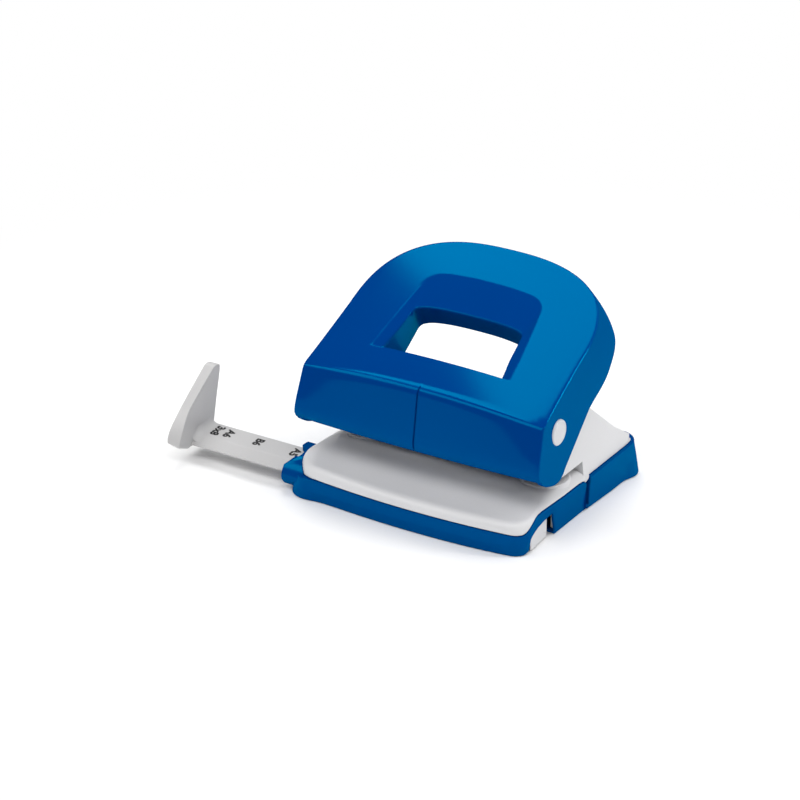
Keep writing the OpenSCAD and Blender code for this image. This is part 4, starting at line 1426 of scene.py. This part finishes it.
@dataclass
class Housing:
    """The light moulding: deck with its rounded rim, low tower, ears, pads and guide columns."""

    plan: BasePlan = field(default_factory=BasePlan)
    gap: float = 0.3
    deck: float = 17.4
    skirt_inset: float = 2.4
    skirt: float = 1.1
    shell: float = 2.0
    slot: Plan = (18.2, 21.7)
    slot_back: float = 12.0
    tower_half: float = 50.4
    corner_half: float = 50.3
    ear_in: float = 44.6
    tower_top: float = 33.5
    tower_back: Plan = (54.6, 14.9)
    tower_foot: float = 14.6
    corner_r: float = 6.5
    lean: float = 0.115
    pivot: Plan = AXLE
    boss_r: float = 7.0
    knee: Plan = (38.5, 25.6)
    ridge: Plan = (21.0, 40.5)
    roll: float = 4.2
    spine_x: float = 38.0
    spine_y: Plan = (-12.0, 30.0)
    rail_open: Plan = (-33.5, -15.5)
    notch_open: tuple[float, float, float] = (-29.5, -14.6, -9.5)
    deck_bore: float = 6.03
    tower_bore: float = 5.78
    column_r: float = 8.95
    knuckle_r: Plan = (1.05, 2.2)
    knuckle_y: Plan = (26.2, 43.8)
    rim_inset: float = 0.35
    rim_step: float = 0.7
    rim_rise: float = 0.3
    post_x: float = 20.0
    post_r: Plan = (1.5, 2.9)
    post_z: Plan = (13.85, 15.8)

    def top(self, y: float) -> float:
        """Gives the height of the deck along its length, without its rim.

        Args:
            y: the place along.

        Returns:
            The height.
        """
        front, back = self.spine_y
        if y < front:
            return self.deck - 3.1 * rise(y, front, -34.0) - 1.3 * max(0.0, (-26.0 - y) / 12.0)
        return self.deck - 2.6 * rise(y, back, 56.0)

    def skirt_foot(self, x: float, y: float) -> float:
        """Gives how low the skirt inside the tray reaches; it is open at the rail and beside the notch.

        Args:
            x: the place across.
            y: the place along.

        Returns:
            The height of the skirt's lower edge.
        """
        front, middle, back = self.notch_open
        if x < -40.0 and self.rail_open[0] < y < self.rail_open[1]:
            return min(12.2, self.plan.parting(y) - 1.2)
        if x > 36.0 and y < front:
            return self.plan.parting(y) - 1.3
        if x < 40.0 or not front < y < back:
            return 1.9
        return 0.4 if y < middle else 8.8

    def deck_section(self, rim: Plan, centre: Plan) -> Loop:
        """Gives the section of the deck's shell from one place on its rim inwards.

        Args:
            rim: the place on the outer outline, drawn in by the gap.
            centre: the point of the spine that the section runs to.

        Returns:
            The closed section.
        """
        edge, mid = Vector((*rim, 0.0)), Vector((*centre, 0.0))
        way = (mid - edge).normalized()
        reach = (mid - edge).length
        low = self.plan.parting(rim[1]) + self.gap
        up = Vector((0.0, 0.0, 1.0))

        def spot(inset: float, height: float) -> Vector:
            """Gives a point at an inset from the rim and a height."""
            return edge + way * min(inset, reach) + up * height

        roll = self.roll
        foot = self.skirt_foot(*rim)
        back = self.rim_step * ease((rim[1] - self.plan.slit[1]) / 1.5)
        high = self.top(edge.y + way.y * roll)
        low = min(low, high - 0.9)
        outer, inner = self.skirt_inset - self.gap, self.skirt_inset + self.skirt - self.gap
        points: Marked = [
            (mid + up * (self.top(mid.y) - self.shell), 0.0),
            (spot(4.5 + self.shell, high - self.shell), 1.0),
            (spot(inner, low - 1.0), 0.0),
            (spot(inner, foot), 0.3),
            (spot(outer, foot), 0.3),
            (spot(outer, low - 0.8), 0.3),
            (spot(self.rim_inset + back, low), 0.25),
        ]
        wall = max(0.0, high - low)
        power = 1.1 / min(1.0, wall / 4.0)
        for turn in range(0, 100, 10):
            a = math.radians(min(90, turn))
            height = low + self.rim_rise + (wall - self.rim_rise) * math.sin(a) ** power
            points.append((spot(back + roll * (1 - math.cos(a)), height), 0.0))
        for t in (0.12, 0.3, 0.5, 0.7, 0.85):
            inset = lerp(roll, reach, t)
            points.append((spot(inset, self.top(edge.y + way.y * inset)), 0.0))
        points.append((mid + up * self.top(mid.y), 0.0))
        return round_loop(points, 3)

    def spine(self, x: float, y: float) -> Plan:
        """Gives the place in the deck's middle that the section from one place of its rim runs to."""
        front, back = self.spine_y
        return (max(-self.spine_x, min(self.spine_x, x * 0.75)), max(front, min(back, y * 0.82)))

    def build_deck(self) -> None:
        """Builds the deck with its skirt as one shell."""
        marks = both_sides((*self.notch_open, self.rail_open[1]), 0.01) + self.plan.edge_marks()
        rows = [self.deck_section(place, self.spine(*place)) for place in self.plan.outline(self.gap, marks)]
        piece = Piece("deck").skin(rows, looped=False)
        piece.mesh.faces.new([piece.mesh.verts.new(row[-1]) for row in rows])
        piece.mesh.faces.new([piece.mesh.verts.new(row[0]) for row in reversed(rows)])
        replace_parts(piece.finish(Dress.HOUSING, cuts=self.bores(self.deck_bore, 11.0, 20.0)), "housing")

    def bores(self, radius: float, low: float, high: float) -> list[bpy.types.Object]:
        """Gives the solids that cut the ways of both pins."""
        profile = tube_line((0.0, radius), (low, high))
        return [Piece("bore").lathe(profile, (side * PIN_X, 0.0, 0.0), "Z", 48).solid() for _, side in SIDES]

    def _section(self, points: Outline, x: float, draft: float) -> Loop:
        """Stands an outline up, leaning in with height by the draft."""
        side = 1.0 if x > 0 else -1.0
        return [Vector((x - side * draft * (z - 17.0), y, z)) for y, z in points]

    def ear_line(self) -> Outline:
        """Gives the side view of an ear and the slope behind it."""
        py, pz = self.pivot
        boss = arc((py, pz), self.boss_r, 200.0, 68.0, 12)
        half_way = (lerp(boss[-1][0], self.ridge[0], 0.5), lerp(boss[-1][1], self.ridge[1], 0.5))
        return [(-9.0, self.slot[1])] + boss + [half_way, self.ridge] + self.back_line()

    def middle_line(self) -> Outline:
        """Gives the side view between the ears, with as many points."""
        flat = [(-6.0, self.tower_top)] + [(lerp(-5.0, 27.0, k / 12), self.tower_top) for k in range(12)]
        return ([(-6.0, self.slot[1])] + flat + [(28.0, self.tower_top), (28.6, self.tower_top)]
                + self.back_line())

    def back_line(self) -> Outline:
        """Gives the slope behind the ears, its foot on the deck and the paper slot's end."""
        back, foot = self.tower_back[0], self.tower_foot
        return [(29.2, self.tower_top), self.knee, self.tower_back, (back, foot), (self.slot_back, foot),
                (self.slot_back, self.slot[1])]

    def build_tower(self) -> None:
        """Builds the tower with both ears as one loft."""
        ear, middle = self.ear_line(), self.middle_line()
        half, inside = self.tower_half, self.ear_in
        rows = [self._section(line, x, self.lean if line is ear and abs(x) == half else 0.0)
                for line, x in ((ear, -half), (ear, -inside), (middle, -inside), (middle, inside),
                                (ear, inside), (ear, half))]
        cuts = self.bores(self.tower_bore, 15.0, 40.0) + self.corners()
        Piece("tower").prism(rows).finish(Dress.HOUSING, 0.5, 35.0, cuts)

    def corners(self) -> list[bpy.types.Object]:
        """Gives the solids that round the tower's rear corners in plan, one for each side."""
        r = self.corner_r
        bend = arc((self.corner_half - r, self.tower_back[0] - r), r, 0.0, 90.0, 12)
        line = [(60.0, 66.0), (60.0, bend[0][1])] + bend + [(bend[-1][0], 66.0)]
        both = [[[Vector((side * x, y, z)) for x, y in line] for z in (5.0, 45.0)] for _, side in SIDES]
        return [Piece("corner").prism(sections).solid() for sections in both]

    def build_columns(self) -> None:
        """Builds the pads under the pins and the columns that hold their guides."""
        slot_low, slot_high = self.slot
        pad = [(6.0, self.deck - 1.5), (10.2, self.deck - 1.5), (10.0, self.deck + 0.2), (9.6, slot_low),
               (6.0, slot_low)]
        column = tube_line((self.tower_bore, self.column_r), (slot_high, self.tower_top))
        for name, side in SIDES:
            foot = (side * PIN_X, 0.0, 0.0)
            Piece(f"pad_{name}").lathe(pad, foot).finish(Dress.HOUSING, 0.2)
            Piece(f"guide_column_{name}").lathe(column, foot).finish(Dress.HOUSING, 0.35)

    def build_knuckle(self) -> None:
        """Builds the housing's long hinge knuckle."""
        line = tube_line(self.knuckle_r, self.knuckle_y)
        Piece("housing_knuckle").lathe(line, TRAY_HINGE, "Y", 40).finish(Dress.HOUSING, 0.3)

    def build_screw_posts(self) -> None:
        """Builds the posts that the die plate's screws bite into."""
        post = tube_line(self.post_r, self.post_z)
        for name, side in SIDES:
            made = Piece(f"screw_post_{name}").lathe(post, (side * self.post_x, 0.0, 0.0), "Z", 40)
            made.finish(Dress.HOUSING, 0.15)

    def build(self) -> None:
        """Builds every piece of the housing."""
        self.build_deck()
        self.build_tower()
        self.build_columns()
        self.build_knuckle()
        self.build_screw_posts()


# ---- Paper guide ------------------------------------------------------------


@dataclass
class PaperGuide:
    """The sliding rail with its upright end stop and its printed scale."""

    inner_end: float = 8.0
    stop_x: Plan = (-105.0, -109.7)
    inner_face: Sequence[Plan] = ((-40.3, 8.8), (-39.8, 11.0), (-37.4, 15.4), (-33.0, 22.2), (-26.0, 27.4),
                                  (-17.7, 32.9), (-14.7, 34.6), (-11.8, 34.6), (-10.7, 32.4), (-13.6, 20.4),
                                  (-16.1, 9.4))
    outer_face: Sequence[Plan] = ((-41.8, 10.4), (-41.6, 12.8), (-39.4, 16.2), (-33.3, 21.4), (-26.2, 26.7),
                                  (-17.6, 32.7), (-14.6, 34.6), (-12.0, 34.5), (-10.8, 32.6), (-13.4, 20.0),
                                  (-16.0, 8.4))
    inner_foot: Sequence[Plan] = ((-17.0, 6.3), (-34.4, 6.1))
    outer_foot: Sequence[Plan] = ((-17.5, 4.8), (-34.2, 4.5))
    marks: Sequence[tuple[str, float]] = (("A5", -61.5), ("B6", -79.2), ("A6", -93.4), ("3x8", -99.0))
    mark_size: float = 4.9
    mark_bold: Sequence[Plan] = ((0.0, 0.0), (0.17, 0.0), (-0.17, 0.0), (0.0, 0.12), (0.0, -0.12))
    shoulder: Plan = (5.2, 0.75)
    fillet_r: float = 3.4

    def rail_line(self) -> Outline:
        """Gives the rail's section with its sloped front."""
        (y0, y1), (z0, z1) = RAIL_Y, RAIL_Z
        back, drop = self.shoulder
        return [(y0 + 0.3, z0), (y1 - 0.3, z0), (y1, z0 + 0.4), (y1, z1 - 0.3), (y1 - 0.3, z1),
                (y0 + back, z1 - drop), (y0 + 4.0, z1 - 1.15), (y0 + 0.2, z0 + 0.9), (y0, z0 + 0.5)]

    def build_rail(self) -> None:
        """Builds the rail."""
        line = self.rail_line()
        rows = [side_section(line, x) for x in (self.stop_x[0] - 1.0, -60.0, -20.0, self.inner_end)]
        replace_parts(Piece("guide_rail").prism(rows).finish(Dress.GUIDE, 0.35), "paper_guide")

    def build_stop(self) -> None:
        """Builds the upright end stop."""
        near, far = self.stop_x
        faces = []
        sides = ((self.outer_face, self.outer_foot, far), (self.inner_face, self.inner_foot, near))
        for face, foot, x in sides:
            line = [along(face, k / 50) for k in range(51)] + list(foot)
            faces.append(side_section(line, x))
        Piece("end_stop").prism(faces).finish(Dress.GUIDE, 0.7, 28.0)

    def build_fillet(self) -> None:
        """Builds the fillet between the rail and the end stop."""
        (y0, y1), (_, z1) = RAIL_Y, RAIL_Z
        back, drop = self.shoulder
        rows = []
        for k in range(-1, 13):
            a = math.radians(90.0 * k / 12)
            x = self.stop_x[0] - 0.05 + self.fillet_r * (1 - math.sin(a))
            lift = self.fillet_r * (1 - math.cos(a)) - (0.03 if k < 1 else 0.0)
            line = [(y1 - 0.1, z1 - 3.0), (y1 - 0.1, z1 - 0.34 + lift * 0.85), (y1 - 0.4, z1 + lift),
                    (y0 + back, z1 - drop + lift), (y0 + 4.0, z1 - 1.15 + lift * 0.9),
                    (y0 + 1.2, z1 - 2.95 + lift * 0.6), (y0 + 1.2, z1 - 3.2)]
            rows.append(side_section(line, x))
        Piece("stop_fillet").prism(rows).finish(Dress.GUIDE)

    def letters(self, text: str) -> bpy.types.Mesh:
        """Gives one mark's letters, lying flat about the origin.

        Args:
            text: what they say.

        Returns:
            Their mesh in metres.
        """
        font = bpy.data.curves.new("mark", "FONT")
        font.body = text
        font.size = self.mark_size * MM
        font.align_x = "CENTER"
        font.align_y = "CENTER"
        font.extrude = 0.02 * MM
        font.offset = 0.08 * MM
        shape = put("mark", font)
        bpy.context.view_layer.update()
        data = settled_mesh(shape)
        bpy.data.objects.remove(shape, do_unlink=True)
        return data

    def build_marks(self) -> None:
        """Prints the paper sizes on the rail, reading from back to front."""
        (y0, y1), (_, z1) = RAIL_Y, RAIL_Z
        front, back = y0 + self.shoulder[0], y1 - 0.3
        slope = math.atan2(self.shoulder[1], back - front)
        y = (front + y1) / 2 - 0.2
        height = z1 - math.tan(slope) * (back - y) + 0.03
        turn = Matrix.Rotation(slope, 4, "X") @ Matrix.Rotation(-math.pi / 2, 4, "Z")
        for text, x in self.marks:
            data = self.letters(text)
            bold = bmesh.new()
            for k, (dx, dy) in enumerate(self.mark_bold):
                spot = Vector((x + dx, y + dy, height + 0.004 * k))
                copy = data.copy()
                copy.transform(Matrix.Translation(spot * MM) @ turn)
                bold.from_mesh(copy)
                bpy.data.meshes.remove(copy)
            bold.to_mesh(data)
            bold.free()
            Dress.MARK.put_on(put(f"mark_{text.lower()}", data))

    def build(self) -> None:
        """Builds every piece of the guide."""
        self.build_rail()
        self.build_stop()
        self.build_fillet()
        self.build_marks()


# ---- Steel parts ------------------------------------------------------------


@dataclass(frozen=True)
class SteelParts:
    """The metal solids that keep their own shape and get their finish here."""

    finishes: tuple[tuple[Finish, tuple[str, ...]], ...] = (
        (Finish.STEEL, ("axle", "press_lever_left", "press_lever_right", "die_plate", "tray_hinge_pin",
                        "guide_bush_left", "guide_bush_right")),
        (Finish.GROUND, ("punch_pin_left", "punch_pin_right", "die_bush_left", "die_bush_right")),
        (Finish.SPRING, ("return_spring_left", "return_spring_right", "guide_click_spring")),
        (Finish.SCREW, ("die_screws", "lever_screws")),
        (Finish.HANDLE, ("handle",)), (Finish.TRAY, ("chip_tray",)), (Finish.HOUSING, ("housing",)),
        (Finish.GUIDE, ("paper_guide",)), (Finish.CAP, ("axle_cap_left", "axle_cap_right")),
    )
    coil_r: float = 4.0
    wire: float = 0.7
    turns: float = 5.5
    spring_z: Plan = (35.0, 44.6)
    keep: float = 0.36

    def dress(self) -> None:
        """Gives every solid its material."""
        for finish, names in self.finishes:
            for name in names:
                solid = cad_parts[name]
                solid.data.materials.clear()
                solid.data.materials.append(finish.get())
        self.wind_springs()

    def wind_springs(self) -> None:
        """Winds the return springs."""
        for name, side in SIDES:
            x, low = side * PIN_X, self.spring_z[0]
            made = Piece(f"spring_coil_{name}").prism(self.coil_rows(x)).finish(Dress.SPRING)
            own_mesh(made)
            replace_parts(made, f"return_spring_{name}")

    def coil_rows(self, x: float) -> list[Loop]:
        """Gives the wire's sections along one coil.

        Args:
            x: the place of its axis across.

        Returns:
            The sections, whose turns lie close at both ends.
        """
        low, high = self.spring_z
        half = self.wire / 2
        up = Vector((0.0, 0.0, 1.0))
        turned = [2 * math.pi * j / 12 for j in range(12)]
        rows: list[Loop] = []
        steps = int(self.turns * 28)
        for k in range(steps + 1):
            t, a = k / steps, 2 * math.pi * k / 28
            climb = min(1.0, max(0.0, (t - 0.12) / 0.76)) * 0.84 + 0.16 * t
            out = Vector((math.cos(a), math.sin(a), 0.0))
            spine = Vector((x, 0.0, lerp(low + half, high - half, climb))) + out * self.coil_r
            rows.append([spine + out * (half * math.cos(b)) + up * (half * math.sin(b)) for b in turned])
        return rows


# ---- Studio -----------------------------------------------------------------


@dataclass(frozen=True)
class Lamp:
    """One soft panel of even brightness."""

    name: str
    spot: tuple[float, float, float]
    aim: tuple[float, float, float]
    size: tuple[float, float]
    glow: float
    turn: float = 0.0

    def hang(self) -> None:
        """Puts the panel up."""
        data = bpy.data.lights.new(self.name, "AREA")
        data.shape = "RECTANGLE"
        data.size, data.size_y = self.size
        data.energy = self.glow * math.pi * self.size[0] * self.size[1]
        way = Vector(self.aim) - Vector(self.spot)
        face = way.to_track_quat("-Z", "Y").to_matrix().to_4x4()
        turned = Matrix.Rotation(math.radians(self.turn), 4, "Z")
        put(self.name, data).matrix_world = Matrix.Translation(self.spot) @ face @ turned


@dataclass(frozen=True)
class Studio:
    """Camera, white paper, soft panels and the even light round them."""

    azimuth: float = 31.9
    elevation: float = 25.71
    distance: float = 1.3
    lens: float = 148.07
    target: tuple[float, float, float] = (-0.0265, 0.0007, 0.0334)
    ambient: float = 0.26
    lamps: tuple[Lamp, ...] = (
        Lamp("over_panel", (-0.27, 0.289, 0.686), (-0.27, 0.289, 0.0), (0.5, 0.364), 4.4, -24.9),
        Lamp("back_panel", (0.35, 0.42, 0.8), (0.0, 0.0, 0.03), (0.5, 0.5), 2.1),
        Lamp("right_panel", (0.62, -0.05, 0.34), (0.0, 0.0, 0.03), (0.5, 0.45), 0.5),
        Lamp("edge_panel", (0.55, 0.22, 0.58), (0.0, 0.0, 0.05), (0.06, 0.75), 17.0),
        Lamp("front_panel", (-0.42, -0.48, 0.60), (0.0, 0.0, 0.02), (0.8, 0.3), 3.7),
        Lamp("brow_panel", (0.15, -0.44, 0.72), (0.0, -0.02, 0.02), (0.5, 0.28), 5.4),
    )

    def camera(self) -> None:
        """Sets the camera."""
        data = bpy.data.cameras.new("camera")
        data.lens = self.lens
        data.sensor_width = 36.0
        az, el = math.radians(self.azimuth), math.radians(self.elevation)
        right = Vector((math.cos(az), math.sin(az), 0.0))
        back = Vector((math.sin(az) * math.cos(el), -math.cos(az) * math.cos(el), math.sin(el)))
        up = back.cross(right)
        turn = Matrix((right, up, back)).transposed().to_4x4()
        made = put("camera", data)
        made.matrix_world = Matrix.Translation(Vector(self.target) + back * self.distance) @ turn
        bpy.context.scene.camera = made

    def paper(self) -> None:
        """Lays the white paper under the punch."""
        piece = bmesh.new()
        bmesh.ops.create_grid(piece, x_segments=8, y_segments=8, size=4.0)
        data = bpy.data.meshes.new("paper")
        piece.to_mesh(data)
        piece.free()
        data.materials.append(Finish.PAPER.get())
        made = put("paper", data)
        made.location.z = -0.0002

    def air(self) -> None:
        """Sets the even light round the punch, and white behind it."""
        world = bpy.data.worlds.new("air")
        bpy.context.scene.world = world
        bench = Bench(world, "World")
        seen = bench.node("ShaderNodeLightPath").outputs["Is Camera Ray"]
        even, white = [bench.node("ShaderNodeBackground", None, {"Strength": strength}).outputs[0]
                       for strength in (self.ambient, 1.0)]
        bench.end(bench.blend(seen, even, white))

    def build(self) -> None:
        """Sets the whole studio up."""
        self.camera()
        self.paper()
        self.air()
        for lamp in self.lamps:
            lamp.hang()
        bpy.context.scene.view_settings.view_transform = "Standard"


def main() -> None:
    """Builds the punch in order and reports each piece."""
    logging.basicConfig(level=logging.INFO, format="%(name)s %(message)s")
    SteelParts().dress()
    ChipTray().build()
    Housing().build()
    PaperGuide().build()
    Handle().build()
    Studio().build()


if __name__ == "__main__":
    main()
